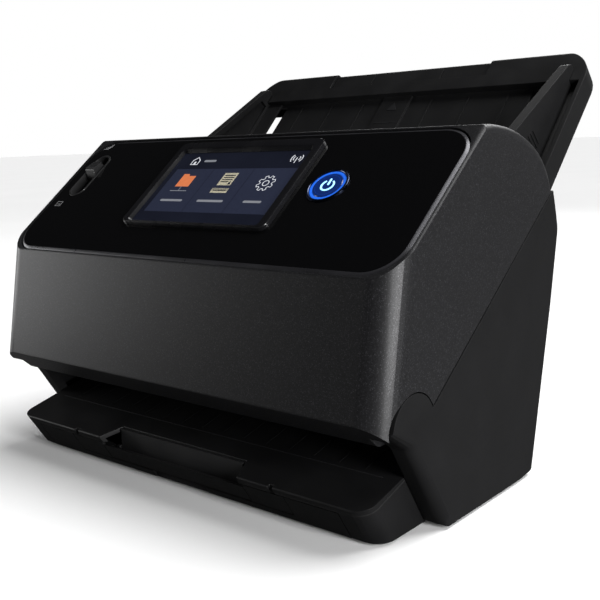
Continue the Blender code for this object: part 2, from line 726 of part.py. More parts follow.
def pulleys():
    return (
        ("feed", FEED_ROLLER[:2], 12.0),
        ("registration", REGISTRATION_ROLLER[:2], 9.0),
        ("eject", EJECT_ROLLER[:2], 9.0),
        ("motor", MOTOR[:2], 6.0),
    )


def belt_outline(reach):
    """The belt wraps all the pulleys: the hull of their circles, each widened by reach."""
    points = []
    for _name, centre, radius in pulleys():
        points += [Vector(p) for p in circle(centre, radius + reach, 28)]
    return [tuple(points[i]) for i in convex_hull_2d(points)]


# ---------------------------------------------------------------- eject tray


def deck_height(v, below=0.0):
    return DECK_FRONT[1] + (v - DECK_FRONT[0]) * math.tan(DECK_SLOPE) - below


def face_depth(z):
    """Distance behind the front lip of the eject tray's leaning front face, at a height."""
    lean = (TRAY_FOOT - DECK_FRONT[0]) / (DECK_FRONT[1] - FLOOR_GAP)
    return DECK_FRONT[0] + (DECK_FRONT[1] - z) * lean


def face_wall(low, high, thickness, inset=0.0):
    """Side view of a wall that lies on the front face between two heights."""
    front = [(face_depth(low) + inset, low), (face_depth(high) + inset, high)]
    return front + [(v + thickness, z) for v, z in reversed(front)]


def make_eject_tray():
    half = EJECT_HALF_WIDTH
    front = [(TRAY_FOOT, FLOOR_GAP, 2), (*DECK_FRONT, 1)]
    rear = [(DECK_END, deck_height(DECK_END)), (DECK_END, FLOOR_GAP)]
    tray = slab("eject_tray", rounded(front + rear), -half, half)
    keep_within(tray, leaning_block("tray_plan", half, (TRAY_FOOT, FLOOR_GAP), DECK_FRONT, EJECT_CORNER))
    room = [(face_depth(3.6) + WALL, 3.6), (face_depth(19.0) + WALL, deck_height(6, WALL))]
    room += [(DECK_END + 1, deck_height(DECK_END + 1, WALL)), (DECK_END + 1, 3.6)]
    room_half = half - WALL - 3.5
    cut(tray, slab("tray_room", room, -room_half, room_half))
    cut(tray, slab("fascia_room", face_wall(-1.0, 17.6, 5.2, -2.0), -116.3, 116.3))
    cut(tray, slab("recess", finger_recess(), 12, 40, "Z"))
    for side in (-1, 1):
        x = sorted((side * 75.0, side * 78.0))
        cut(tray, box("lip_notch", (x[0], 0, 17), (x[1], 5.5, 40)))
    matte(tray)
    fascia = slab("eject_fascia", face_wall(FLOOR_GAP, 17.3, 2.2), -116, 116)
    cut(fascia, box("extension_window", (-83.3, 0, 5.4), (83.3, 30, 30)))
    join(fascia, box("fascia_bar", (-34, 14.8, 3.95), (34, 19, 5.3)))
    cut(fascia, box("finger_notch", (-21, 0, -2), (21, 15.9, 6)))
    matte(fascia)


def finger_recess():
    """Outline from above of the opening in the deck, which narrows towards the stopper."""
    front, rear = -MIDDLE, STOPPER_AXIS[0] + 1.5 - MIDDLE
    wide, narrow = 56.0, STOPPER_HALF + 0.6
    return [(-wide, front), (wide, front), (narrow, rear), (-narrow, rear)]


def make_eject_extensions():
    first = slab("eject_extension_1", face_wall(5.7, 17.2, 2.2), -83, 83)
    join(first, box("ext_1_plate", (-81, face_depth(12) + 1, 11.2), (81, 134, 13.2)))
    cut(first, box("ext_2_window", (-55.8, 0, 6.2), (55.8, 19, 30)))
    for name, side in both_sides():
        low, high = across(side, 79.0, 81.0)
        join(first, box("ext_1_rail_" + name, (low, 24, 5.8), (high, 134, 12)))
    matte(first)
    second = slab("eject_extension_2", face_wall(6.5, 15.6, 2.2), -55.5, 55.5)
    join(second, box("ext_2_plate", (-54, face_depth(9) + 1, 8.0), (54, 131, 10.0)))
    for name, side in both_sides():
        low, high = across(side, STOPPER_HALF + 0.4, STOPPER_HALF + 2.9)
        v = STOPPER_AXIS[0]
        join(second, box("stopper_lug_" + name, (low, v - 2.3, 9), (high, v + 2.3, 14.6)))
    cut(second, rod("lug_bore", STOPPER_AXIS, 1.25, -60, 60, count=16))
    matte(second)
    v, z = STOPPER_AXIS
    half = STOPPER_HALF
    stopper = box("eject_stopper", (-half, v - 0.9, z - 0.9), (half, v + 0.9, deck_height(v, 0.3)))
    join(stopper, rod("stopper_pin", STOPPER_AXIS, 0.95, -half - 2.6, half + 2.6, count=16))
    matte(stopper, 0.03)


# ---------------------------------------------------------------- feed tray


def tray_side_profile():
    """The tray from the side: its top end is rounded a little in front and more behind."""
    start, end = TRAY_START, TRAY_END
    corners = [(start, TRAY_BACK), (end, TRAY_BACK, 10), (end, TRAY_FRONT, 4), (start, TRAY_FRONT)]
    return rounded(corners, 12)


def tray_plan():
    half, start, end = TRAY_HALF_WIDTH, TRAY_START, TRAY_END
    corners = [(-half, start), (half, start), (half, end, TRAY_CORNER), (-half, end, TRAY_CORNER)]
    return rounded(corners, 9)


def windows(obj, low, high, tag):
    for name, side in both_sides():
        x0, x1 = across(side, *WINDOW_X)
        cut(obj, box(tag + "_window_" + name, (x0, WINDOW_S[0], low), (x1, WINDOW_S[1], high), PATH))


def make_feed_tray():
    tray = slab("feed_tray", tray_side_profile(), -140, 140, "X", PATH)
    keep_within(tray, slab("tray_outline", tray_plan(), TRAY_SPLIT, 10, "Z", PATH))
    x = TRAY_RECESS_X
    cut(tray, box("tray_recess", (-x, TRAY_START - 5, 0), (x, TRAY_RECESS_END, 9), PATH))
    inner = rounded([(-x, 190), (x, 190), (x, TRAY_END - 3, 21), (-x, TRAY_END - 3, 21)], 9)
    cut(tray, slab("tray_cavity", inner, -12, -2.0, "Z", PATH))
    cut(tray, box("top_notch", (-NOTCH_HALF, NOTCH_START, -12), (NOTCH_HALF, 350, 9), PATH))
    windows(tray, -3, 1, "tray")
    for name, side in both_sides():
        low, high = across(side, 17.0, 123.4)
        cut(tray, box("guide_slot_" + name, (low, 207.0, -3), (high, 212.0, 1), PATH))
    join(tray, box("tray_rib", (-11.5, 232, -1), (11.5, 317, 1.2), PATH))
    matte(tray)
    back = slab("feed_tray_back", tray_side_profile(), -140, 140, "X", PATH)
    keep_within(back, slab("back_outline", tray_plan(), -15, TRAY_SPLIT - GAP, "Z", PATH))
    cut(back, box("back_notch", (-NOTCH_HALF, NOTCH_START, -15), (NOTCH_HALF, 350, 9), PATH))
    windows(back, -12, 1, "back")
    matte(back)


def rack_outline(x_end):
    """The right guide's rack: a bar to past the middle, toothed on the side of the pinion."""
    pitch = 2 * math.pi * PINION_RADIUS / PINION_TEETH
    back, pitch_line = PINION_CENTRE - RACK_DEPTH, PINION_CENTRE - PINION_RADIUS
    root, tip = pitch_line - 1.3, pitch_line + 0.55
    outline = [(x_end, back), (-8.0, back), (-8.0, root)]
    for i in range(-1, int(GUIDE_TRAVEL / pitch) + 3):
        middle = i * pitch
        outline += [(middle - 0.9, root), (middle - 0.35, tip), (middle + 0.35, tip), (middle + 0.9, root)]
    return outline + [(x_end, root)]


def pinion_outline():
    outline = []
    for i in range(PINION_TEETH):
        middle = 2 * math.pi * (i + 0.5) / PINION_TEETH - math.pi / 2
        for radius, offset in ((3.95, -0.21), (5.5, -0.07), (5.5, 0.07), (3.95, 0.21)):
            angle = middle + offset
            outline.append((radius * math.cos(angle), PINION_CENTRE + radius * math.sin(angle)))
    return outline


def make_guides():
    """Each guide's wall stands on a flange; a foot through the tray's slot carries its rack."""
    profile = [(231, 0.5), (312.4, 0.5), (312.4, 5.1), (321.5, 5.1)]
    profile = rounded(profile + [(321.5, 9.2, 2), (318, 11.8, 3), (231, 36.8, 5)], 20)
    for name, side in both_sides():
        low, high = across(side, *GUIDE_X)
        guide = slab(name + "_document_guide", profile, low, high, "X", PATH)
        low, high = across(side, GUIDE_X[0] - 1, GUIDE_X[0] + 2.6)
        panel = rounded([(237, 4), (309, 4), (309, 10.2, 2), (237, 30.5, 3)], 30)
        cut(guide, slab("guide_panel_" + name, panel, low, high, "X", PATH))
        low, high = across(side, GUIDE_FLANGE_X, GUIDE_X[0] + 0.5)
        join(guide, box("guide_flange_" + name, (low, 224, 0.5), (high, 312.2, 2.2), PATH))
        low, high = across(side, 112.0, GUIDE_X[1])
        join(guide, box("guide_lead_" + name, (low, 203.5, 0.5), (high, 232, 3.6), PATH))
        low, high = across(side, 112.4, 121.6)
        join(guide, box("guide_post_" + name, (low, 207.6, -4), (high, 211.4, 1.5), PATH))
        foot = sorted((PINION_CENTRE - side * (RACK_DEPTH - 0.2), PINION_CENTRE + side * 2.4))
        join(guide, box("guide_foot_" + name, (low, foot[0], -5.4), (high, foot[1], -2.8), PATH))
        rack = slab("guide_rack_" + name, rack_outline(113.0), -5.6, -2.6, "Z", PATH)
        if side < 0:
            centre = Matrix.Translation(Vector((0, PINION_CENTRE, 0)) * MM)
            rack.data.transform(centre @ Matrix.Rotation(math.pi, 4, "Z") @ centre.inverted())
        join(guide, rack)
        matte(guide)
    pinion = slab("guide_pinion", pinion_outline(), -5.6, -2.6, "Z", PATH)
    cut(pinion, slab("pinion_bore", circle((0, PINION_CENTRE), 1.6, 16), -7, 0, "Z", PATH))
    set_origin(pinion, (0, PINION_CENTRE, 0))
    paint(pinion, (0.7, 0.7, 0.65), 0.5)


def make_feed_extensions():
    start, top = NOTCH_START + 0.6, TRAY_END - 1.0
    lip = rounded([(start, -7.6), (top, -7.6, 7), (top, 3.0, 3), (start, 3.0)], 20)
    first = box("feed_extension_1", (-61, 219.5, -4.7), (61, 323, -2.5), PATH)
    join(first, slab("lip_1", lip, -62.8, 62.8, "X", PATH))
    join(first, box("lip_neck_1", (-61, 320, -4.7), (61, NOTCH_START + 3, -2.5), PATH))
    cut(first, box("lip_2_room", (-28.4, NOTCH_START - 6, -9), (28.4, 345, -4.9), PATH))
    cut(first, box("lip_2_front_room", (-28.4, NOTCH_START + 0.2, -5.2), (28.4, 345, 6), PATH))
    cut(first, box("lip_2_neck_room", (-27.9, NOTCH_START - 4, -5.2), (27.9, 345, -4.8), PATH))
    matte(first)
    second = box("feed_extension_2", (-27.4, 222, -7.6), (27.4, 323, -5.2), PATH)
    join(second, slab("lip_2", lip, -28.0, 28.0, "X", PATH))
    join(second, box("lip_neck_2", (-27.4, 320, -7.6), (27.4, NOTCH_START + 3, -5.2), PATH))
    matte(second)


# ---------------------------------------------------------------- assembly

make_front_cover()
make_open_lever()
make_hinges()
make_upper_guide()
make_upper_rollers()
make_sensors()
make_panel()
make_power_button()
make_feed_select_lever()
make_side_covers()
make_rear_cover()
make_ports()
make_bottom()
make_base_frame()
make_lower_guide()
make_drive()
make_eject_tray()
make_eject_extensions()
make_feed_tray()
make_guides()
make_feed_extensions()
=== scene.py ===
import math

import bmesh
import bpy
from mathutils import Matrix, Vector


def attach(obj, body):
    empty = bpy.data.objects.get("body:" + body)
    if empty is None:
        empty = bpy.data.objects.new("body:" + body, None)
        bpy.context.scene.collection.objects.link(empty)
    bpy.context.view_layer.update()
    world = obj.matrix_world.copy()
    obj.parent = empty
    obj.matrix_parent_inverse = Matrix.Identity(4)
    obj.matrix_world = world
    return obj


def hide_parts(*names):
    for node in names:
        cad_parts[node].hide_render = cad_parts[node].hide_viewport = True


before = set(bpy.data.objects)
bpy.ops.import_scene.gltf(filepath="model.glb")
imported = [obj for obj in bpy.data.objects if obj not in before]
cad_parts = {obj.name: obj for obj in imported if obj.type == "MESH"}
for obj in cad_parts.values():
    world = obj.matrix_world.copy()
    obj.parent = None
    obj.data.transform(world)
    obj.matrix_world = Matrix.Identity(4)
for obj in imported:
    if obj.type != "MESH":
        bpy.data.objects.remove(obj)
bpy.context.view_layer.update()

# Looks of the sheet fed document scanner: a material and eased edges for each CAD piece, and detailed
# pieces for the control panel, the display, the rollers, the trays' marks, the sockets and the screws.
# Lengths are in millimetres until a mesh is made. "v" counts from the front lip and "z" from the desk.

MM = 0.001
MIDDLE = 126.5
SMOOTH_BELOW = math.radians(33)

PANEL_ORIGIN = (0.0, 11.3 - MIDDLE, 124.7)
PANEL_LENGTH = math.dist((11.3, 124.7), (90.4, 188.4))
PANEL_ANGLE = math.atan2(188.4 - 124.7, 90.4 - 11.3)
PATH_ORIGIN = (0.0, 10.75 - MIDDLE, -10.75)
PATH_ANGLE = math.radians(45)

TO_WORLD = Matrix.Translation((0, -MIDDLE, 0))
TO_PANEL = Matrix.Translation(PANEL_ORIGIN) @ Matrix.Rotation(PANEL_ANGLE, 4, "X")
TO_PATH = Matrix.Translation(PATH_ORIGIN) @ Matrix.Rotation(PATH_ANGLE, 4, "X")

FEED_ROLLER = (178.0, -12.2, 12.0)
REGISTRATION_ROLLER = (150.0, -6.2, 6.0)
EJECT_ROLLER = (88.0, -6.2, 6.0)
SLEEVES = ((-105, -85), (-60, -35), (35, 60), (85, 105))

PANEL_HALF = 143.2
PANEL_CORNER = 19.6
PANEL_FACE = -0.1
BEZEL = ((-55.5, 25.0), (55.5, 93.3))
SCREEN = ((-49.3, 27.7), (49.3, 85.3))
SCREEN_FACE = 0.6
BUTTON_CENTRE = (75.0, 58.5)
LEVER_CENTRE = (-125.5, 67.0)

DECK_FRONT = (3.0, 21.4)
DECK_SLOPE = math.radians(14.6)
TRAY_FOOT = (15.6, 1.5)
TRAY_HALF = 133.3
TRAY_CORNER = 10.0
REAR_FOOT = (140.5, 1.5)
REAR_BEND = (162.0, 92.0)


# ---------------------------------------------------------------- materials


class Shade:
    """A procedural material: one Principled shader, with short calls for the nodes in front of it."""

    def __init__(self, name, colour, roughness, **values):
        self.material = bpy.data.materials.new(name)
        self.material.use_nodes = True
        self.nodes = self.material.node_tree.nodes
        self.links = self.material.node_tree.links
        self.shader = self.nodes["Principled BSDF"]
        self.set("Base Color", (*colour, 1.0))
        self.set("Roughness", roughness)
        for socket, value in values.items():
            self.set(socket.replace("_", " "), value)
        self.place = self.nodes.new("ShaderNodeTexCoord").outputs["Object"]
        self.normal = None

    def set(self, socket, value):
        self.shader.inputs[socket].default_value = value

    def link(self, output, socket):
        self.links.new(output, self.shader.inputs[socket])

    def stretched(self, scale):
        """The object's coordinates, scaled by a different amount along each axis."""
        mapping = self.nodes.new("ShaderNodeMapping")
        mapping.inputs["Scale"].default_value = scale
        self.links.new(self.place, mapping.inputs["Vector"])
        return mapping.outputs["Vector"]

    def noise(self, size, detail=2.0, place=None):
        """Soft noise with lumps of about this size in millimetres."""
        noise = self.nodes.new("ShaderNodeTexNoise")
        noise.inputs["Scale"].default_value = 1 / (size * MM)
        noise.inputs["Detail"].default_value = detail
        self.links.new(place or self.place, noise.inputs["Vector"])
        return noise.outputs["Fac"]

    def cells(self, size):
        """A random brightness for each cell of about this size in millimetres."""
        cells = self.nodes.new("ShaderNodeTexVoronoi")
        cells.inputs["Scale"].default_value = 1 / (size * MM)
        self.links.new(self.place, cells.inputs["Vector"])
        grey = self.nodes.new("ShaderNodeSeparateColor")
        self.links.new(cells.outputs["Color"], grey.inputs["Color"])
        return grey.outputs[0]

    def ramp(self, value, stops):
        ramp = self.nodes.new("ShaderNodeValToRGB")
        elements = ramp.color_ramp.elements
        while len(elements) < len(stops):
            elements.new(0.5)
        for element, (where, colour) in zip(elements, stops):
            element.position = where
            element.color = (*colour, 1.0) if isinstance(colour, tuple) else (colour,) * 3 + (1.0,)
        self.links.new(value, ramp.inputs["Fac"])
        return ramp.outputs["Color"]

    def mix(self, first, second, how="MIX", share=0.5):
        mix = self.nodes.new("ShaderNodeMix")
        mix.data_type = "RGBA"
        mix.blend_type = how
        mix.inputs[0].default_value = share
        self.links.new(first, mix.inputs[6])
        self.links.new(second, mix.inputs[7])
        return mix.outputs[2]

    def seen_or_bounced(self, seen, bounced):
        """One colour for the surface itself, and a plain one for the light that it throws."""
        mix = self.nodes.new("ShaderNodeMix")
        mix.data_type = "RGBA"
        self.links.new(self.nodes.new("ShaderNodeLightPath").outputs["Is Camera Ray"], mix.inputs[0])
        mix.inputs[6].default_value = (*bounced, 1.0)
        self.links.new(seen, mix.inputs[7])
        return mix.outputs[2]

    def bump(self, height, depth, strength=1.0):
        """Adds relief of this depth in millimetres over what is there already."""
        bump = self.nodes.new("ShaderNodeBump")
        bump.inputs["Strength"].default_value = strength
        bump.inputs["Distance"].default_value = depth * MM
        self.links.new(height, bump.inputs["Height"])
        if self.normal:
            self.links.new(self.normal, bump.inputs["Normal"])
        self.normal = bump.outputs["Normal"]
        self.link(self.normal, "Normal")


def grained(name, colour, roughness, grain=0.45, relief=0.02, spread=0.25, **values):
    """Moulded plastic: a spark-eroded grain, slow changes of tone and slightly uneven gloss."""
    shade = Shade(name, colour, roughness, **values)
    dark = tuple(c * (1 - spread) for c in colour)
    light = tuple(c * (1 + spread) for c in colour)
    fine = shade.ramp(shade.noise(grain, 3.0), ((0.35, dark), (0.65, light)))
    slow = shade.ramp(shade.noise(35.0, 2.0), ((0.3, dark), (0.7, light)))
    shade.link(shade.mix(fine, slow), "Base Color")
    worn = shade.noise(18.0, 4.0)
    shade.link(shade.ramp(worn, ((0.3, roughness - 0.05), (0.7, roughness + 0.06))), "Roughness")
    shade.bump(shade.noise(grain, 2.0), relief)
    return shade.material


def housing():
    """Charcoal paint with fine metal flakes."""
    shade = Shade("housing_paint", (0.012, 0.012, 0.013), 0.4, Metallic=0.3)
    shade.set("Specular IOR Level", 0.35)
    dark, light = (0.007, 0.007, 0.0076), (0.017, 0.017, 0.0185)
    tone = shade.ramp(shade.noise(0.5, 3.0), ((0.3, dark), (0.7, light)))
    flakes = shade.ramp(shade.cells(0.3), ((0.9, 0.0), (0.985, (0.035, 0.035, 0.038))))
    shade.link(shade.mix(tone, flakes, "ADD", 1.0), "Base Color")
    shade.link(shade.ramp(shade.noise(0.6, 2.0), ((0.3, 0.36), (0.7, 0.47))), "Roughness")
    shade.bump(shade.noise(0.4, 2.0), 0.012)
    return shade.material


def polished(name, colour, roughness=0.06, **values):
    """High gloss moulding: a faint waviness, and hairline marks in its gloss."""
    shade = Shade(name, colour, roughness, **values)
    hair = shade.noise(0.25, 2.0, shade.stretched((1.0, 0.06, 1.0)))
    shade.link(shade.ramp(hair, ((0.45, roughness), (0.75, roughness + 0.05))), "Roughness")
    shade.bump(shade.noise(14.0, 1.0), 0.01)
    return shade.material


def metal(name, colour, roughness, along=(1.0, 30.0, 30.0), **values):
    """Rolled or drawn metal with streaks along one direction."""
    shade = Shade(name, colour, roughness, Metallic=1.0, **values)
    streaks = shade.noise(6.0, 4.0, shade.stretched(along))
    dark = tuple(c * 0.8 for c in colour)
    shade.link(shade.ramp(streaks, ((0.3, dark), (0.7, colour))), "Base Color")
    shade.link(shade.ramp(streaks, ((0.3, roughness - 0.08), (0.7, roughness + 0.1))), "Roughness")
    shade.bump(streaks, 0.01)
    return shade.material


def rubber():
    shade = Shade("rubber_black", (0.02, 0.02, 0.021), 0.8, Sheen_Weight=0.15)
    dark, light = (0.014, 0.014, 0.014), (0.03, 0.03, 0.031)
    shade.link(shade.ramp(shade.noise(0.7, 3.0), ((0.3, dark), (0.7, light))), "Base Color")
    shade.link(shade.ramp(shade.noise(5.0, 3.0), ((0.3, 0.7), (0.7, 0.9))), "Roughness")
    shade.bump(shade.noise(0.3, 2.0), 0.03)
    return shade.material


def glowing(name, colour, strength, roughness=0.2):
    """A lit screen element or light guide, a little uneven as lit plastic is."""
    shade = Shade(name, colour, roughness, Emission_Strength=strength)
    dim = tuple(c * 0.86 for c in colour)
    shade.link(shade.ramp(shade.noise(2.0, 2.0), ((0.3, dim), (0.7, colour))), "Emission Color")
    return shade.material


def display_glass():
    """Dark cover glass over a lit but nearly black picture."""
    shade = Shade("display_glass", (0.004, 0.005, 0.009), 0.07, Coat_Weight=0.3, Emission_Strength=1.0)
    glow = shade.ramp(shade.noise(30.0, 1.0), ((0.3, (0.0035, 0.004, 0.008)), (0.7, (0.006, 0.007, 0.013))))
    shade.link(glow, "Emission Color")
    shade.link(shade.ramp(shade.noise(3.0, 3.0), ((0.4, 0.05), (0.75, 0.1))), "Roughness")
    return shade.material


def sensor_glass():
    shade = Shade("sensor_glass", (0.03, 0.05, 0.055), 0.04, Coat_Weight=0.5)
    bands = shade.noise(3.0, 1.0, shade.stretched((0.02, 1.0, 1.0)))
    shade.link(shade.ramp(bands, ((0.35, (0.012, 0.02, 0.024)), (0.65, (0.05, 0.075, 0.08)))), "Base Color")
    return shade.material


def circuit_board():
    shade = Shade("circuit_board", (0.01, 0.12, 0.05), 0.35, Coat_Weight=0.4)
    tracks = shade.ramp(shade.cells(1.6), ((0.45, (0.006, 0.075, 0.03)), (0.55, (0.012, 0.14, 0.055))))
    shade.link(tracks, "Base Color")
    shade.bump(shade.cells(1.6), 0.03)
    return shade.material


MATERIALS = {
    "housing": housing(),
    "matte": grained("moulded_black", (0.006, 0.006, 0.0064), 0.5, Specular_IOR_Level=0.22),
    "inner": grained("inner_black", (0.014, 0.014, 0.0146), 0.42, 0.8, 0.012, Specular_IOR_Level=0.35),
    "gloss": polished("piano_black", (0.002, 0.002, 0.0022), Coat_Weight=0.15),
    "panel_edge": grained("panel_edge", (0.045, 0.045, 0.05), 0.3, 0.5, 0.008, Metallic=0.6),
    "frame": grained("display_frame", (0.006, 0.006, 0.007), 0.26, 0.5, 0.006, Specular_IOR_Level=0.35),
    "screen": display_glass(),
    "bezel": metal("dark_blue_metal", (0.05, 0.06, 0.10), 0.25, (1.0, 1.0, 1.0)),
    "button": glowing("lit_button", (0.0025, 0.012, 0.075), 1.0),
    "blue": glowing("blue_light", (0.014, 0.10, 0.55), 0.9),
    "symbol": glowing("symbol_light", (0.30, 0.66, 1.0), 1.5),
    "halo": glowing("halo_light", (0.006, 0.05, 0.42), 0.9),
    "tile": glowing("tile_picture", (0.012, 0.0145, 0.027), 1.0),
    "line": glowing("tile_line", (0.005, 0.006, 0.012), 1.0),
    "orange": glowing("orange_picture", (0.40, 0.115, 0.045), 1.0),
    "page": glowing("page_picture", (0.50, 0.46, 0.33), 1.0),
    "light": glowing("light_picture", (0.42, 0.43, 0.46), 1.0),
    "dim": glowing("dim_picture", (0.13, 0.135, 0.15), 1.0),
    "ink": grained("pale_ink", (0.33, 0.33, 0.34), 0.5, 0.4, 0.004),
    "mark": grained("raised_mark", (0.014, 0.014, 0.015), 0.4, 0.5, 0.01, Specular_IOR_Level=0.35),
    # Near-black painted shade, for strips and slabs put where gaps, grooves and vent slots lie in shade.
    "shadow": grained("painted_gap_shade", (0.0022, 0.0022, 0.0025), 0.8, 0.6, 0.01),
    "steel": metal("plated_sheet", (0.52, 0.52, 0.50), 0.36),
    "rod": metal("ground_rod", (0.6, 0.6, 0.6), 0.22, (1.0, 8.0, 8.0)),
    "can": metal("motor_can", (0.28, 0.28, 0.29), 0.34),
    "screw": metal("dark_screw", (0.12, 0.12, 0.125), 0.38, (4.0, 4.0, 4.0)),
    "rubber": rubber(),
    "acetal": grained("acetal", (0.62, 0.62, 0.57), 0.4, 0.7, 0.006, 0.05),
    "white": grained("white_reference", (0.75, 0.75, 0.73), 0.5, 0.6, 0.004, 0.03),
    "tab": grained("release_tab", (0.05, 0.16, 0.30), 0.4, 0.5, 0.008, 0.1),
    "glass": sensor_glass(),
    "board": circuit_board(),
    "gold": metal("contacts", (0.75, 0.55, 0.25), 0.3),
    "shell": metal("socket_shell", (0.62, 0.62, 0.60), 0.3),
    "socket": grained("socket_black", (0.008, 0.008, 0.008), 0.45, 0.5, 0.01),
    "copper": metal("spring_wire", (0.5, 0.5, 0.47), 0.28, (1.0, 1.0, 1.0)),
    "label": grained("blank_label", (0.09, 0.09, 0.095), 0.35, 0.6, 0.003, 0.05),
}


# ---------------------------------------------------------------- edges and shading


def geometry_group(name):
    group = bpy.data.node_groups.new(name, "GeometryNodeTree")
    for way in ("INPUT", "OUTPUT"):
        group.interface.new_socket("Geometry", in_out=way, socket_type="NodeSocketGeometry")
    return group, group.nodes.new("NodeGroupInput"), group.nodes.new("NodeGroupOutput")


def smooth_group():
    """Smooth faces with the edges above an angle kept sharp, and no normals from the file."""
    group, start, end = geometry_group("smooth_by_angle")
    forget = group.nodes.new("GeometryNodeRemoveAttribute")
    forget.inputs["Name"].default_value = "custom_normal"
    faces = group.nodes.new("GeometryNodeSetShadeSmooth")
    edges = group.nodes.new("GeometryNodeSetShadeSmooth")
    edges.domain = "EDGE"
    edges.inputs["Shade Smooth"].default_value = False
    angle = group.nodes.new("GeometryNodeInputMeshEdgeAngle")
    above = group.nodes.new("FunctionNodeCompare")
    above.operation = "GREATER_THAN"
    above.inputs[1].default_value = SMOOTH_BELOW
    group.links.new(angle.outputs["Unsigned Angle"], above.inputs[0])
    group.links.new(above.outputs["Result"], edges.inputs["Selection"])
    group.links.new(start.outputs[0], forget.inputs[0])
    group.links.new(forget.outputs[0], faces.inputs[0])
    group.links.new(faces.outputs[0], edges.inputs[0])
    group.links.new(edges.outputs[0], end.inputs[0])
    return group


SMOOTH = smooth_group()


def ease(obj, width, segments):
    """Rounds the sharp edges by a width in millimetres."""
    bevel = obj.modifiers.new("eased", "BEVEL")
    bevel.width = width * MM
    bevel.segments = segments
    bevel.limit_method = "ANGLE"
    bevel.angle_limit = math.radians(34)
    bevel.use_clamp_overlap = False
    bevel.miter_outer = "MITER_SHARP"


def finish_edges(obj, width=0.0, segments=2):
    if width:
        ease(obj, width, segments)
    obj.modifiers.new("shading", "NODES").node_group = SMOOTH
    flats = obj.modifiers.new("flats", "WEIGHTED_NORMAL")
    flats.weight = 100
    flats.keep_sharp = True


def dress(node, material, width=0.3, segments=2):
    """Gives a CAD node its material, welded and eased edges and smooth shading."""
    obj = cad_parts[node]
    for slot in obj.material_slots:
        slot.material = MATERIALS[material]
    weld = obj.modifiers.new("weld", "WELD")
    weld.merge_threshold = 1e-6
    finish_edges(obj, width, segments)
    return obj


# ---------------------------------------------------------------- shapes: lists of (points, faces)


def grid_faces(rows, count, wrap=True):
    faces = []
    for r in range(rows - 1):
        for i in range(count if wrap else count - 1):
            j = (i + 1) % count
            faces.append((r * count + i, r * count + j, (r + 1) * count + j, (r + 1) * count + i))
    return faces


def loft(loops, ends=True):
    """Skins closed loops of equal length, and fills the first and last when they are ends."""
    count = len(loops[0])
    faces = grid_faces(len(loops), count)
    if ends:
        faces += [tuple(reversed(range(count))), tuple((len(loops) - 1) * count + i for i in range(count))]
    else:
        last = (len(loops) - 1) * count
        faces += [(last + i, last + (i + 1) % count, (i + 1) % count, i) for i in range(count)]
    return [p for loop in loops for p in loop], faces


def prism(outline, low, high, axis="Z"):
    place = {
        "X": lambda a, b, c: (c, a, b),
        "Y": lambda a, b, c: (a, c, b),
        "Z": lambda a, b, c: (a, b, c),
    }[axis]
    return loft([[place(a, b, c) for a, b in outline] for c in (low, high)])


def block(low, high):
    (x0, y0, z0), (x1, y1, z1) = low, high
    return prism([(x0, y0), (x1, y0), (x1, y1), (x0, y1)], z0, z1)


def circle(centre, radius, count=32, start=0.0):
    turns = [start + 2 * math.pi * i / count for i in range(count)]
    return [(centre[0] + radius * math.cos(t), centre[1] + radius * math.sin(t)) for t in turns]


def arc(centre, radius, start, end, count):
    turns = [math.radians(start + (end - start) * i / count) for i in range(count + 1)]
    return [(centre[0] + radius * math.cos(t), centre[1] + radius * math.sin(t)) for t in turns]


def round_box(low, high, radius, count=6):
    (a0, b0), (a1, b1) = low, high
    outline = []
    for a, b, start in ((a1, b1, 0), (a0, b1, 90), (a0, b0, 180), (a1, b0, 270)):
        across = math.copysign(radius, a - (a0 + a1) / 2)
        upward = math.copysign(radius, b - (b0 + b1) / 2)
        centre = (a - across, b - upward)
        outline += arc(centre, radius, start, start + 90, count)
    return outline


def oblong(centre, half, radius, count=10):
    """A vertical slot outline with round ends."""
    a, b = centre
    upper = arc((a, b + half - radius), radius, 0, 180, count)
    return upper + arc((a, b - half + radius), radius, 180, 360, count)


def at(outline, height):
    return [(a, b, height) for a, b in outline]


def band(outline, width, low, high, closed=True):
    """A thin wall of the given width that follows a line, standing from low to high."""
    points = [Vector(p) for p in outline]
    left, right = [], []
    for i, p in enumerate(points):
        before = points[i - 1] if closed or i else p
        after = points[(i + 1) % len(points)] if closed or i < len(points) - 1 else p
        along = (after - before).normalized()
        out = Vector((-along.y, along.x)) * width / 2
        left.append(tuple(p + out))
        right.append(tuple(p - out))
    if closed:
        return loft([at(left, low), at(left, high), at(right, high), at(right, low)], False)
    return prism(left + right[::-1], low, high)


def lathe(stations, centre, steps=32, axis="X"):
    """Turns (position, radius) stations about an axis through centre; ends at radius 0 are closed."""
    place = {
        "X": lambda c, a, b: (c, centre[0] + a, centre[1] + b),
        "Y": lambda c, a, b: (centre[0] + a, c, centre[1] + b),
        "Z": lambda c, a, b: (centre[0] + a, centre[1] + b, c),
    }[axis]
    loops = []
    for position, radius in stations:
        reach = max(radius, 1e-3)
        loops.append([place(position, a, b) for a, b in circle((0, 0), reach, steps)])
    return loft(loops, stations[0] != stations[-1])


def wire(points, radius, sides=8):
    """A round wire through points."""
    points = [Vector(p) for p in points]
    loops = []
    across = Vector((0.13, 0.21, 0.97))
    for i, p in enumerate(points):
        along = (points[min(i + 1, len(points) - 1)] - points[max(i - 1, 0)]).normalized()
        side = along.cross(across).normalized()
        across = side.cross(along).normalized()
        ring = []
        for a, b in circle((0, 0), radius, sides):
            ring.append(tuple(p + side * a + across * b))
        loops.append(ring)
    return loft(loops)


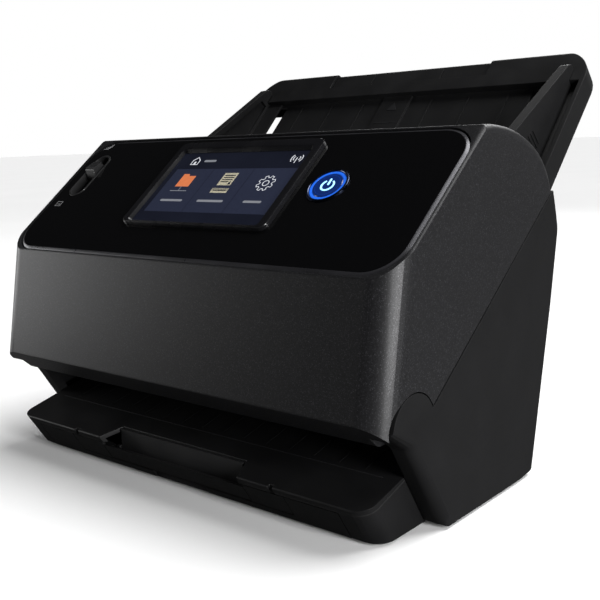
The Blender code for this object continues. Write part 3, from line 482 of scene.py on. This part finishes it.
def filled(outlines, low, high):
    """A flat plate whose first outline is its edge and whose others are holes."""
    curve = bpy.data.curves.new("outline", "CURVE")
    curve.dimensions = "2D"
    curve.fill_mode = "BOTH"
    curve.extrude = (high - low) / 2
    for outline in outlines:
        spline = curve.splines.new("POLY")
        spline.points.add(len(outline) - 1)
        for point, (a, b) in zip(spline.points, outline):
            point.co = (a, b, 0.0, 1.0)
        spline.use_cyclic_u = True
    holder = bpy.data.objects.new("outline", curve)
    bpy.context.scene.collection.objects.link(holder)
    mesh = bpy.data.meshes.new_from_object(holder.evaluated_get(bpy.context.evaluated_depsgraph_get()))
    points = [(v.co.x, v.co.y, v.co.z + (low + high) / 2) for v in mesh.vertices]
    faces = [tuple(p.vertices) for p in mesh.polygons]
    bpy.data.objects.remove(holder)
    bpy.data.meshes.remove(mesh)
    return points, faces


def moved(shape, matrix):
    points, faces = shape
    return [tuple(matrix @ Vector(p)) for p in points], faces


def make(name, shapes, body, material, place=TO_WORLD, stands_for=(), width=0.0, segments=2):
    """One piece from several closed shapes, on a body, with its edges eased."""
    points, faces = [], []
    for shape_points, shape_faces in shapes:
        first = len(points)
        points += shape_points
        faces += [tuple(first + i for i in face) for face in shape_faces]
    mesh = bpy.data.meshes.new(name)
    mesh.from_pydata([tuple((place @ Vector(p)) * MM) for p in points], [], faces)
    work = bmesh.new()
    work.from_mesh(mesh)
    bmesh.ops.remove_doubles(work, verts=work.verts, dist=1e-7)
    bmesh.ops.recalc_face_normals(work, faces=work.faces)
    work.to_mesh(mesh)
    work.free()
    mesh.materials.append(MATERIALS[material])
    obj = bpy.data.objects.new(name, mesh)
    bpy.context.scene.collection.objects.link(obj)
    finish_edges(obj, width, segments)
    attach(obj, body)
    if stands_for:
        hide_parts(*stands_for)
    return obj


# ---------------------------------------------------------------- control panel, in the panel's frame


def panel_outline(inset):
    half = PANEL_HALF - inset
    return round_box((-half, 1.4 + inset), (half, PANEL_LENGTH - 1.2 - inset), PANEL_CORNER - inset, 12)


def control_panel():
    back = -3.0
    holes = [round_box((-55.8, 24.7), (55.8, 93.6), 5.3), circle(BUTTON_CENTRE, 12.2, 48)]
    holes.append(oblong(LEVER_CENTRE, 19.5, 7.8))
    face = filled([panel_outline(2.1)] + holes, back, PANEL_FACE)
    make("panel_face", [face], "front_unit", "gloss", TO_PANEL, ["control_panel"])
    chamfer = ((2.15, PANEL_FACE), (1.7, -0.14), (0.35, -0.85), (0.05, -1.15), (0.05, back), (2.15, back))
    steps = [at(panel_outline(inset), height) for inset, height in chamfer]
    make("panel_edge", [loft(steps, False)], "front_unit", "panel_edge", TO_PANEL)


def display():
    """The raised frame round the display, which slopes down to the glass, and the glass."""
    def outer(inset, height):
        (x0, u0), (x1, u1) = BEZEL
        return at(round_box((x0 + inset, u0 + inset), (x1 - inset, u1 - inset), 5 - inset, 8), height)

    def inner(grow, height):
        (x0, u0), (x1, u1) = SCREEN
        return at(round_box((x0 - grow, u0 - grow), (x1 + grow, u1 + grow * 2.2), 1.2 + grow, 8), height)

    steps = [outer(*step) for step in ((0, -3), (0, 1.5), (0.3, 2.2), (1.0, 2.6))]
    steps += [inner(*step) for step in ((1.3, 2.55), (0.9, 2.3), (0.1, 0.75), (0, 0.62), (0, -3))]
    frame_shape = loft(steps, False)
    make("display_frame", [frame_shape], "front_unit", "frame", TO_PANEL, ["display_bezel"])
    glass = block((-49.1, 27.9, -6), (49.1, 85.1, SCREEN_FACE))
    make("display_glass", [glass], "front_unit", "screen", TO_PANEL, ["display_module"])


def picture():
    """The lit screen: a dark bar, three tiles with plain icons, and plain bars in place of words."""
    low, high = SCREEN_FACE, 0.66
    edges = (-45.2, -13.9, 17.4, 48.7)
    tiles = [block((a + 0.2, 36.0, low), (b - 0.2, 71.2, high)) for a, b in zip(edges, edges[1:])]
    make("screen_tiles", tiles, "front_unit", "tile", TO_PANEL)
    lines = [block((a - 0.2, 36.0, low), (a + 0.2, 71.2, high)) for a in edges[1:3]]
    lines.append(block((32.0, 72.6, low), (32.3, 84.4, high)))
    lines.append(block((-49.0, 71.2, low), (49.0, 71.5, high)))
    make("screen_lines", lines, "front_unit", "line", TO_PANEL)
    top = high + 0.04
    folder = [(-35.4, 56.4), (-24.4, 56.4), (-24.4, 65.2), (-30.0, 65.2), (-31.0, 66.9), (-35.4, 66.9)]
    make("screen_folder", [prism(folder, low, top)], "front_unit", "orange", TO_PANEL)
    stand = [block((-36.6, 52.6, low), (-23.2, 53.1, top)), block((-30.1, 53.1, low), (-29.7, 56.4, top))]
    sheet = [(-2.4, 57.6), (8.0, 57.6), (8.0, 67.6), (-2.4, 67.6)]
    tray = [(-3.6, 51.6), (9.2, 51.6), (9.2, 55.4), (-3.6, 55.4)]
    page = [prism(sheet, low, high), prism(tray, low, high)]
    make("screen_page", page, "front_unit", "page", TO_PANEL)
    rows = []
    for i, end in enumerate((6.8, 6.8, 6.8, 4.6)):
        rows.append(block((-1.2, 65.2 - 1.7 * i, low), (end, 65.9 - 1.7 * i, top)))
    rows.append(block((-2.2, 53.2, low), (7.8, 53.9, top)))
    rows.append(prism([(5.0, 58.2), (7.4, 58.2), (6.2, 61.2)], low, top))
    make("screen_page_rows", rows, "front_unit", "line", TO_PANEL)
    house = [(-37.2, 75.2), (-31.6, 75.2), (-31.6, 78.8), (-34.4, 81.4), (-37.2, 78.8)]
    light = [band(house, 0.6, low, top), block((-35.1, 75.2, low), (-33.7, 77.6, top))]
    light += [band(gear(33.1, 59.4), 0.5, low, top), band(circle((33.1, 59.4), 2.0, 20), 0.5, low, top)]
    light.append(block((42.1, 75.4, low), (42.6, 79.6, top)))
    for radius in (2.2, 3.8):
        for turn in (0, 180):
            light.append(band(arc((42.35, 79.0), radius, turn - 42, turn + 42, 8), 0.5, low, top, False))
    make("screen_icons", light, "front_unit", "light", TO_PANEL)
    bars = [(-27.4, 77.2, 9.6), (-38.4, 44.2, 18.0), (-8.4, 44.2, 20.0), (26.6, 44.2, 13.0)]
    bars = [prism(round_box((x, u), (x + wide, u + 1.7), 0.8, 3), low, top) for x, u, wide in bars]
    make("screen_bars", bars + stand, "front_unit", "dim", TO_PANEL)


def gear(x, u, teeth=8):
    outline = []
    for i in range(teeth):
        for radius, offset in ((4.3, -0.26), (5.8, -0.15), (5.8, 0.15), (4.3, 0.26)):
            turn = 2 * math.pi * i / teeth + offset + 0.39
            outline.append((x + radius * math.cos(turn), u + radius * math.sin(turn)))
    return outline


def power_button():
    centre = BUTTON_CENTRE
    dish = [(-2.6, 0), (-2.6, 8.5), (0.1, 8.5), (0.4, 8.25), (0.5, 7.8), (0.32, 5.5), (0.22, 3.0), (0.2, 0)]
    cap = lathe(dish, centre, 48, "Z")
    make("power_cap", [cap], "power_button", "button", TO_PANEL, ["power_button"])
    glow = lathe([(0.0, 7.7), (0.46, 7.7), (0.44, 7.0), (0.0, 7.0), (0.0, 7.7)], centre, 48, "Z")
    make("power_halo", [glow], "power_button", "halo", TO_PANEL)
    symbol = [band(arc(centre, 3.6, 125, 415, 28), 0.95, 0.0, 0.42, False)]
    symbol.append(prism(round_box((74.5, 58.7), (75.5, 63.3), 0.45, 3), 0.0, 0.42))
    make("power_symbol", symbol, "power_button", "symbol", TO_PANEL)
    rim = [(-2.6, 10.45), (0.55, 10.45), (0.8, 10.7), (0.8, 11.3), (0.45, 11.85), (-2.6, 11.85)]
    ring = lathe(rim + rim[:1], centre, 64, "Z")
    make("power_rim", [ring], "front_unit", "bezel", TO_PANEL, ["power_bezel"])


def lever_marks():
    """Two small outline icons: a stack of sheets above the lever's well and one sheet below it."""
    line, ink = 0.35, -0.04
    marks = []
    for i in range(3):
        corner = [(-135.2 + i, 92.6 + i), (-130.6 + i, 92.6 + i), (-130.6 + i, 95.6 + i)]
        marks.append(band(corner, line, PANEL_FACE, ink, False))
    sheet = [(-134.6, 38.4), (-129.6, 38.4), (-129.6, 42.2), (-134.6, 42.2)]
    marks.append(band(sheet, line, PANEL_FACE, ink))
    marks.append(block((-133.4, 39.8, PANEL_FACE), (-130.8, 40.2, ink)))
    make("lever_marks", marks, "front_unit", "ink", TO_PANEL)
    turn = Matrix.Translation((*LEVER_CENTRE, -24)) @ Matrix.Rotation(math.radians(-13), 4, "X")
    ribs = []
    for i in range(5):
        ribs.append(moved(block((-3.9, -3.4 + 1.7 * i, 27.4), (3.9, -2.7 + 1.7 * i, 27.95)), turn))
    make("lever_ribs", ribs, "feed_select_lever", "mark", TO_PANEL)


# ---------------------------------------------------------------- screws, sleeves and springs


def screw(name, spots, body, axis, place=TO_WORLD, radius=2.6):
    """Pan head screws with a cross recess, standing out along an axis of the frame."""
    shapes = []
    turn = {
        "Z": Matrix.Rotation(0, 4, "X"),
        "-Z": Matrix.Rotation(math.pi, 4, "X"),
        "Y": Matrix.Rotation(-math.pi / 2, 4, "X"),
        "-Y": Matrix.Rotation(math.pi / 2, 4, "X"),
        "X": Matrix.Rotation(math.pi / 2, 4, "Y"),
    }[axis]
    for spot in spots:
        matrix = Matrix.Translation(Vector(spot)) @ turn
        r = radius
        cross = []
        for a, b in ((0.2, 0.62), (-0.2, 0.62), (-0.2, 0.2), (-0.62, 0.2), (-0.62, -0.2), (-0.2, -0.2),
                     (-0.2, -0.62), (0.2, -0.62), (0.2, -0.2), (0.62, -0.2), (0.62, 0.2), (0.2, 0.2)):
            cross.append((a * r, b * r))
        head = filled([circle((0, 0), r * 0.86, 24), cross], 0.3 * r, 0.5 * r)
        shapes.append(moved(head, matrix))
        rim = [(0, r), (0.28 * r, r), (0.5 * r, r * 0.86), (0.3 * r, r * 0.84), (0, r * 0.84), (0, r)]
        shapes.append(moved(lathe(rim, (0, 0), 24, "Z"), matrix))
        shapes.append(moved(prism(circle((0, 0), r * 0.9, 16), -0.1, 0.3 * r), matrix))
    return make(name, shapes, body, "screw", place)


def grooved(low, high, radius, step=2.0, depth=0.35):
    """Stations of a rubber sleeve with rounded ends and ring grooves."""
    stations = [(low, radius - 1.2), (low, radius - 0.4), (low + 0.4, radius)]
    count = int((high - low - 1.6) / step)
    start = (low + high) / 2 - count * step / 2
    for i in range(1, count):
        x = start + i * step
        for offset, below in ((-0.45, 0.0), (-0.2, depth), (0.2, depth), (0.45, 0.0)):
            stations.append((x + offset, radius - below))
    end = [(high - 0.4, radius), (high, radius - 0.4), (high, radius - 1.2)]
    return stations + end + stations[:1]


def sleeve(name, body, centre, radius, stretches, step=2.0):
    shapes = [lathe(grooved(low, high, radius + 0.08, step), centre, 40) for low, high in stretches]
    make(name, shapes, body, "rubber", TO_PATH)


def spring(name, body, centre, low, high, radius, turns, place=TO_WORLD):
    points = []
    for i in range(turns * 12 + 1):
        turn = 2 * math.pi * i / 12
        x = low + (high - low) * i / (turns * 12)
        points.append((x, centre[0] + radius * math.cos(turn), centre[1] + radius * math.sin(turn)))
    make(name, [wire(points, 0.32, 6)], body, "copper", place)


def transport():
    """Rubber sleeves, guide ribs, reference strips and the small parts seen with the front unit open."""
    s, n, radius = FEED_ROLLER
    sleeve("feed_tyres", "feed_roller", (s, n), radius, ((-20, -1.5), (1.5, 20)))
    sleeve("retard_tyres", "retard_roller", (s, radius + 0.3), radius - 0.16, ((-20, -1.5), (1.5, 20)))
    for name, (s, n, radius) in (("registration", REGISTRATION_ROLLER), ("eject", EJECT_ROLLER)):
        sleeve(name + "_tyres", name + "_roller", (s, n), radius, SLEEVES, 3.1)
        sleeve(name + "_pinch_tyres", name + "_pinch", (s, 5.3), 4.84, SLEEVES, 3.1)
    ribs = []
    for x in range(-117, 118, 9):
        if all(not low - 2 < x < high + 2 for low, high in SLEEVES):
            ribs.append(block((x - 0.5, 79, -1.35), (x + 0.5, 103.5, -0.95)))
            ribs.append(block((x - 0.5, 121, -1.35), (x + 0.5, 141, -0.95)))
        if abs(x) > 30:
            ribs.append(block((x - 0.5, 160, -1.35), (x + 0.5, 198, -0.95)))
    make("lower_guide_ribs", ribs, "base", "inner", TO_PATH, width=0.12)
    ribs = []
    for x in range(-117, 118, 9):
        if all(not low - 2 < x < high + 2 for low, high in SLEEVES):
            ribs.append(block((x - 0.5, 96, 1.2), (x + 0.5, 119, 1.65)))
        if abs(x) > 26:
            ribs.append(block((x - 0.5, 158, 1.2), (x + 0.5, 186, 1.65)))
    make("upper_guide_ribs", ribs, "front_unit", "inner", TO_PATH, width=0.12)
    strips = [block((-108, 122.6, 1.74), (108, 124.2, 1.84))]
    make("upper_reference", strips, "front_unit", "white", TO_PATH)
    strips = [block((-108, 115.8, -1.84), (108, 117.4, -1.75))]
    make("lower_reference", strips, "base", "white", TO_PATH)
    grip = []
    for s, n in ((163, 5.2), (165, 5.3), (167, 5.4), (169, 5.5)):
        grip.append(block((-33.0, s, n), (-27.5, s + 1.0, n + 1.4)))
    make("roller_cover_grip", grip, "front_unit", "tab", TO_PATH, width=0.2)
    screw("guide_screws_upper", [(x, 146, 1.4) for x in (-72, 72)], "front_unit", "-Z", TO_PATH, 2.2)
    for name, x0, x1 in (("left", -124.0, -116.0), ("right", 116.0, 124.0)):
        spring("hinge_spring_" + name, "base", (24.8, 56.5), x0, x1, 3.4, 5)


def inside():
    """The main board's parts and the motor's end, behind the vents and under the lower guide."""
    chips = []
    for x, z, wide, tall in ((-60, 46, 16, 16), (-34, 50, 10, 10), (-88, 52, 8, 12),
                             (-12, 40, 9, 6), (-76, 44, 6, 4), (0, 56, 12, 8)):
        chips.append(block((x, 126.4, z), (x + wide, 128.3, z + tall)))
    make("board_chips", chips, "base", "socket", TO_WORLD, width=0.15)
    cans = [lathe([(120.0, 0), (120.0, 2.9), (128.3, 2.9), (128.3, 0)], (x, z), 20, "Y")
            for x, z in ((-100, 62), (-92, 66), (-44, 68), (10, 36))]
    make("board_capacitors", cans, "base", "can", TO_WORLD)
    pads = [block((x, 127.6, 72), (x + 1.2, 128.3, 76)) for x in range(-70, -20, 3)]
    make("board_contacts", pads, "base", "gold", TO_WORLD)
    screw("board_screws", [(x, 128.3, z) for x in (-114, 16) for z in (26, 74)], "base", "-Y")
    end = [lathe([(-88.2, 0), (-88.2, 5), (-86.5, 5), (-86.2, 4.6), (-86.2, 0)], (104, -36), 24)]
    make("motor_boss", end, "base", "steel", TO_PATH)
    screw("motor_screws", [(-88.0, 104 + a, -36 + b) for a, b in ((9, 9), (-9, 9), (9, -9), (-9, -9))],
          "base", "X", TO_PATH, 1.8)


# ---------------------------------------------------------------- outside of the base


def deck(v):
    """Height of the eject tray's deck at a distance behind the front lip."""
    return DECK_FRONT[1] + (v - DECK_FRONT[0]) * math.tan(DECK_SLOPE)


def face(z):
    """Distance behind the front lip of the eject tray's leaning front, at a height."""
    lean = (TRAY_FOOT[0] - DECK_FRONT[0]) / (DECK_FRONT[1] - TRAY_FOOT[1])
    return DECK_FRONT[0] + (DECK_FRONT[1] - z) * lean


def eject_tray():
    """A black strip of painted shade in the hollow under the deck's rim, a line across the deck, and ribs
    behind it.
    """
    back = [(-TRAY_HALF, v) for v in (52.0, 44.0, 36.0, 28.0, 20.0)]
    corner = arc((TRAY_CORNER - TRAY_HALF, TRAY_CORNER), TRAY_CORNER, 180, 270, 8)
    path = back + corner + [(-100.0, 0.0), (-79.0, 0.0)]
    shapes = []
    for sign in (1, -1):
        for run in (path, [(-74.0, 0.0), (-57.5, 0.0)]):
            rows = []
            for drop in (3.1, 2.5):
                heights = [deck(DECK_FRONT[0] + behind) - drop for x, behind in run]
                rows.append([(x * sign, face(z) + behind, z) for (x, behind), z in zip(run, heights)])
            shapes.append(ribbon(*rows, 0.05, sign))
    # Painted shade: a thin black strip standing just proud of the tray's sides and front under the rim.
    make("tray_rim_painted_shade", shapes, "base", "shadow", TO_WORLD)
    slope = Matrix.Translation((0, *DECK_FRONT)) @ Matrix.Rotation(DECK_SLOPE, 4, "X")
    rim = [moved(block((-124, 27.6, -0.1), (124, 28.2, 0.22)), slope)]
    make("deck_line", rim, "base", "mark", TO_WORLD)
    ribs = []
    for x in range(-112, 113, 16):
        ribs.append(moved(block((x - 0.5, 31.0, -0.1), (x + 0.5, 54, 0.2)), slope))
    make("deck_ribs", ribs, "base", "matte", TO_WORLD)


def ribbon(low, high, thick, sign=1):
    """A thin strip between two lines of points, standing a little proud of the surface behind it."""
    outward = []
    for i in range(len(low)):
        along = Vector(low[min(i + 1, len(low) - 1)]) - Vector(low[max(i - 1, 0)])
        up = Vector(high[i]) - Vector(low[i])
        outward.append(along.cross(up).normalized() * thick * sign)
    loops = []
    for i, out in enumerate(outward):
        a, b = Vector(low[i]), Vector(high[i])
        loops.append([tuple(a + out), tuple(b + out), tuple(b - out), tuple(a - out)])
    return loft(loops)


def feed_tray():
    """Marks and ribs on the tray's floor, dark strips of painted shade in the channel beside each guide,
    and the underside's ribs and screws.
    """
    marks = []
    for x in (-40, 40):
        marks.append(band(round_box((x - 6, 252), (x + 6, 268), 0.8, 2), 0.5, -0.05, 0.22))
    for i, x in enumerate((-88, -72, 72, 88)):
        marks.append(block((x - 0.35, 222, -0.05), (x + 0.35, 228 + 4 * (i % 2), 0.22)))
    marks.append(prism([(-4, 300), (4, 300), (0, 307)], 1.15, 1.45))
    for s in (240, 256, 272, 288):
        marks.append(block((-9, s, 1.15), (9, s + 0.6, 1.4)))
    make("feed_tray_marks", marks, "base", "mark", TO_PATH, width=0.08)
    ribs = [block((x - 0.7, 234, -0.05), (x + 0.7, 309, 0.45)) for x in (-84, -56, -28, 28, 56, 84)]
    make("feed_tray_ribs", ribs, "base", "matte", TO_PATH, width=0.15)
    # Painted shade: dark strips on the floor and outer wall of the channel beside each guide, where shade
    # falls.
    channel_shade = []
    for x0, x1, low, high in ((-129.4, -124.8, -0.05, 0.06), (124.8, 129.4, -0.05, 0.06),
                              (-129.65, -129.4, 0.0, 4.0), (129.4, 129.65, 0.0, 4.0)):
        channel_shade.append(block((x0, 208, low), (x1, 312.5, high)))
    make("feed_tray_channel_shade", channel_shade, "base", "shadow", TO_PATH)
    back = [block((x - 0.8, 216, -10.5), (x + 0.8, 316, -9.85)) for x in (-80, -48, -16, 16, 48, 80)]
    back += [block((-92, s, -10.5), (92, s + 1.6, -9.85)) for s in (222, 266, 310)]
    make("tray_back_ribs", back, "base", "matte", TO_PATH, width=0.2)
    spots = [(x, s, -9.9) for x in (-64, 64) for s in (244, 288)]
    screw("tray_back_screws", spots, "base", "-Z", TO_PATH, 2.4)


def guide_grips():
    """Finger ridges on the outside of each document guide."""
    for name, sign in (("left", -1), ("right", 1)):
        x0, x1 = sorted((sign * 123.9, sign * 124.5))
        ridges = [block((x0, 240 + 3 * i, 8), (x1, 241.2 + 3 * i, 24 - 1.0 * i)) for i in range(7)]
        make(name + "_guide_grip", ridges, name + "_guide", "matte", TO_PATH, width=0.15)


def rear():
    """Sockets' insides, icons above them, a blank rating plate and screws in the rear cover."""
    def wall(z):
        """Distance behind the lip of the rear cover's flat part, at a height."""
        return REAR_FOOT[0] + (z - REAR_FOOT[1]) * deeper / taller

    deeper, taller = (b - a for a, b in zip(REAR_FOOT, REAR_BEND))
    lean = Matrix.Translation((0, wall(0), 0)) @ Matrix.Rotation(-math.atan2(deeper, taller), 4, "X")
    tongue = [block((-79.0, 134.2, 30.6), (-72.6, 143.0, 33.0))]
    make("usb_tongue", tongue, "base", "white", TO_WORLD, width=0.2)
    pins = [block((-78.4 + 1.7 * i, 135.0, 30.35), (-77.6 + 1.7 * i, 142.6, 30.62)) for i in range(4)]
    pins += [block((-53.2 + 1.25 * i, 134.1, 34.2), (-52.7 + 1.25 * i, 141.0, 36.4)) for i in range(8)]
    make("socket_contacts", pins, "base", "gold", TO_WORLD)
    lights = [block((x, 145.9, 24.9), (x + 2.2, 146.15, 25.8)) for x in (-56.4, -43.8)]
    make("lan_lights", lights, "base", "tab", TO_WORLD)
    low, high = -0.1, 0.12
    icons = [band(circle((-101, 44.5), 1.9, 20), 0.4, low, high)]
    icons.append(block((-101.25, 44, low), (-100.75, 45, high)))
    stem = [(-75.9, 42.0), (-75.9, 46.6)]
    right_arm = [(-75.9, 43.2), (-74.3, 44.6), (-74.3, 45.8)]
    left_arm = [(-75.9, 42.8), (-77.5, 44.2)]
    icons += [band(line, 0.4, low, high, False) for line in (stem, right_arm, left_arm)]
    for x, z in ((-52.5, 42.6), (-49.0, 42.6), (-45.5, 42.6), (-49.0, 46.0)):
        icons.append(band(round_box((x - 0.9, z - 0.8), (x + 0.9, z + 0.8), 0.3, 2), 0.3, low, high))
    icons.append(block((-52.5, 44.2, low), (-45.5, 44.5, high)))
    upright = lean @ Matrix(((1, 0, 0, 0), (0, 0, 1, 0), (0, 1, 0, 0), (0, 0, 0, 1)))
    icons = [moved(shape, upright) for shape in icons]
    make("socket_icons", icons, "base", "ink", TO_WORLD)
    plate = prism(round_box((18, 30), (92, 62), 1.5, 4), -0.1, 0.14)
    make("rating_plate", [moved(plate, upright)], "base", "label", TO_WORLD)
    frame_line = band(round_box((16.6, 28.6), (93.4, 63.4), 2.5, 4), 0.6, -0.1, 0.3)
    make("plate_border", [moved(frame_line, upright)], "base", "matte", TO_WORLD)
    spots = [(x, wall(z) - 0.1, z) for x in (-122, 122) for z in (14, 84)]
    screw("rear_screws", spots, "base", "Y", TO_WORLD, 2.8)


def underside():
    """Screws, a blank plate and vent slots drawn as dark strips of painted shade on the bottom cover, and a
    ring on each foot.
    """
    z = 1.5
    spots = [(x, v, z) for x in (-126, 0, 126) for v in (66, 130)]
    screw("bottom_screws", spots, "base", "-Z", TO_WORLD, 2.4)
    # Painted shade: near-black strips standing where the vent slots' insides lie in shade.
    vents = [block((x, 84, 1.42), (x + 2.2, 112, 1.6)) for x in range(30, 92, 6)]
    make("bottom_vent_shade", vents, "base", "shadow", TO_WORLD)
    plate = prism(round_box((-92, 78), (-22, 116), 1.5, 4), 1.4, 1.6)
    make("bottom_plate", [plate], "base", "label", TO_WORLD)
    rings = []
    for x in (-112, 112):
        for v in (36, 126):
            ring = [(1.1, 9.6), (1.5, 9.9), (1.5, 8.3), (1.1, 8.3), (1.1, 9.6)]
            rings.append(lathe(ring, (x, v), 32, "Z"))
    make("foot_seats", rings, "base", "matte", TO_WORLD)


# ---------------------------------------------------------------- finishes of the CAD pieces

FINISHES = {
    "housing": ("front_cover", 0.12),
    "matte": ("left_side_cover right_side_cover rear_cover bottom_cover eject_tray eject_fascia "
              "eject_extension_1 eject_extension_2 feed_tray feed_tray_back left_document_guide "
              "right_document_guide feed_extension_1 feed_extension_2", 0.35),
    "inner": ("lever_well open_lever upper_guide lower_guide upper_image_sensor lower_image_sensor "
              "retard_roller_cover feed_roller_cover feed_select_lever", 0.25),
    "steel": ("base_frame hinge_bracket_left hinge_bracket_right", 0.15),
    "rod": ("hinge_pin_left hinge_pin_right latch_bar feed_roller registration_roller eject_roller "
            "retard_roller registration_pinch_roller eject_pinch_roller", 0.0),
    "can": ("drive_motor", 0.6),
    "rubber": ("foot_front_left foot_front_right foot_rear_left foot_rear_right drive_belt", 0.2),
    "acetal": ("feed_pulley registration_pulley eject_pulley motor_pulley guide_pinion", 0.15),
    "glass": ("upper_sensor_glass lower_sensor_glass", 0.15),
    "board": ("main_board", 0.1),
    "shell": ("usb_socket lan_socket", 0.15),
    "socket": ("dc_inlet", 0.2),
    "blue": ("power_light_ring", 0.1),
}


def finish_cad_pieces():
    """Each material's nodes, with how far their edges are eased; thin ribs take less."""
    dress("eject_stopper", "inner", 0.1)
    for material, (nodes, width) in FINISHES.items():
        for node in nodes.split():
            dress(node, material, width)


# ---------------------------------------------------------------- camera, lights and floor

VIEW_ANGLES = (40.586, 9.992, -2.015)
EYE = (354.514, -293.621 - MIDDLE, 183.222)
LENS = 36.0 * 896.938 / 600

WALL = (0.26, 0.26, 0.26)
CEILING = (0.015, 0.015, 0.016)
BACKDROP = (1.0, 1.0, 1.0)
FLOOR_BOUNCE = (0.12, 0.12, 0.12)


def camera():
    """A standing viewer's look at the front right corner, with a slight roll."""
    azimuth, elevation, roll = (math.radians(angle) for angle in VIEW_ANGLES)
    forward = Vector((
        -math.sin(azimuth) * math.cos(elevation),
        math.cos(azimuth) * math.cos(elevation),
        -math.sin(elevation),
    ))
    right = Vector((math.cos(azimuth), math.sin(azimuth), 0.0))
    up = right.cross(forward)
    level = Matrix((right, up, -forward)).transposed()
    view = bpy.data.objects.new("camera", bpy.data.cameras.new("camera"))
    view.data.sensor_width = 36.0
    view.data.lens = LENS
    view.data.clip_start = 0.01
    view.matrix_world = (level @ Matrix.Rotation(roll, 3, "Z")).to_4x4()
    view.location = Vector(EYE) * MM
    bpy.context.scene.collection.objects.link(view)
    bpy.context.scene.camera = view


def lamp(name, spot, target, size, power, spread=180.0):
    """A soft box: a rectangular area light that faces its target."""
    light = bpy.data.lights.new(name, "AREA")
    light.shape = "RECTANGLE"
    light.size, light.size_y = size
    light.energy = power
    light.spread = math.radians(spread)
    holder = bpy.data.objects.new(name, light)
    holder.location = spot
    holder.rotation_euler = (Vector(target) - Vector(spot)).to_track_quat("-Z", "Y").to_euler()
    bpy.context.scene.collection.objects.link(holder)


def studio():
    """A white room to look at, and dimmer walls for the reflections, darkest overhead and in front."""
    world = bpy.data.worlds.new("studio")
    bpy.context.scene.world = world
    world.use_nodes = True
    nodes, links = world.node_tree.nodes, world.node_tree.links
    place = nodes.new("ShaderNodeTexCoord")
    split = nodes.new("ShaderNodeSeparateXYZ")
    links.new(place.outputs["Generated"], split.inputs[0])
    walls = nodes.new("ShaderNodeValToRGB")
    elements = walls.color_ramp.elements
    elements[0].position, elements[0].color = 0.1, (*WALL, 1.0)
    elements[1].position, elements[1].color = 0.42, (*CEILING, 1.0)
    links.new(split.outputs["Z"], walls.inputs["Fac"])
    front = nodes.new("ShaderNodeMapRange")
    front.inputs["From Min"].default_value = -0.85
    front.inputs["From Max"].default_value = 0.1
    front.inputs["To Min"].default_value = 0.12
    links.new(split.outputs["Y"], front.inputs["Value"])
    dimmed = nodes.new("ShaderNodeVectorMath")
    dimmed.operation = "SCALE"
    links.new(walls.outputs["Color"], dimmed.inputs[0])
    links.new(front.outputs["Result"], dimmed.inputs["Scale"])
    seen = nodes.new("ShaderNodeLightPath")
    mix = nodes.new("ShaderNodeMix")
    mix.data_type = "RGBA"
    links.new(seen.outputs["Is Camera Ray"], mix.inputs[0])
    links.new(dimmed.outputs["Vector"], mix.inputs[6])
    mix.inputs[7].default_value = (*BACKDROP, 1.0)
    links.new(mix.outputs[2], nodes["Background"].inputs["Color"])
    floor = bpy.data.meshes.new("floor")
    reach = 30.0
    corners = [(-reach, -reach, 0), (reach, -reach, 0), (reach, reach, 0), (-reach, reach, 0)]
    floor.from_pydata(corners, [], [(0, 1, 2, 3)])
    shade = Shade("floor_paper", (0.88, 0.88, 0.88), 0.9, Specular_IOR_Level=0.1)
    paper = shade.ramp(shade.noise(400.0), ((0.3, (0.87, 0.87, 0.87)), (0.7, (0.89, 0.89, 0.89))))
    shade.link(shade.seen_or_bounced(paper, FLOOR_BOUNCE), "Base Color")
    floor.materials.append(shade.material)
    ground = bpy.data.objects.new("floor", floor)
    bpy.context.scene.collection.objects.link(ground)
    sun = bpy.data.lights.new("overhead", "SUN")
    sun.energy = 3.5
    sun.angle = math.radians(40)
    holder = bpy.data.objects.new("overhead", sun)
    holder.rotation_euler = Vector((0.25, 0.35, 0.9)).to_track_quat("Z", "Y").to_euler()
    bpy.context.scene.collection.objects.link(holder)
    lamp("left_wall", (-0.95, -0.38, 0.2), (-0.1, -0.1, 0.1), (0.45, 0.4), 3.2)
    lamp("corner_strip", (0.82, -0.3, 0.24), (0.14, -0.1, 0.1), (0.04, 0.46), 9)
    lamp("rear_edge", (-0.4, 1.3, 0.9), (0, 0, 0.15), (1.2, 0.3), 6)
    bpy.context.scene.view_settings.view_transform = "Standard"


camera()
studio()
finish_cad_pieces()
control_panel()
display()
picture()
power_button()
lever_marks()
transport()
inside()
eject_tray()
feed_tray()
guide_grips()
rear()
underside()
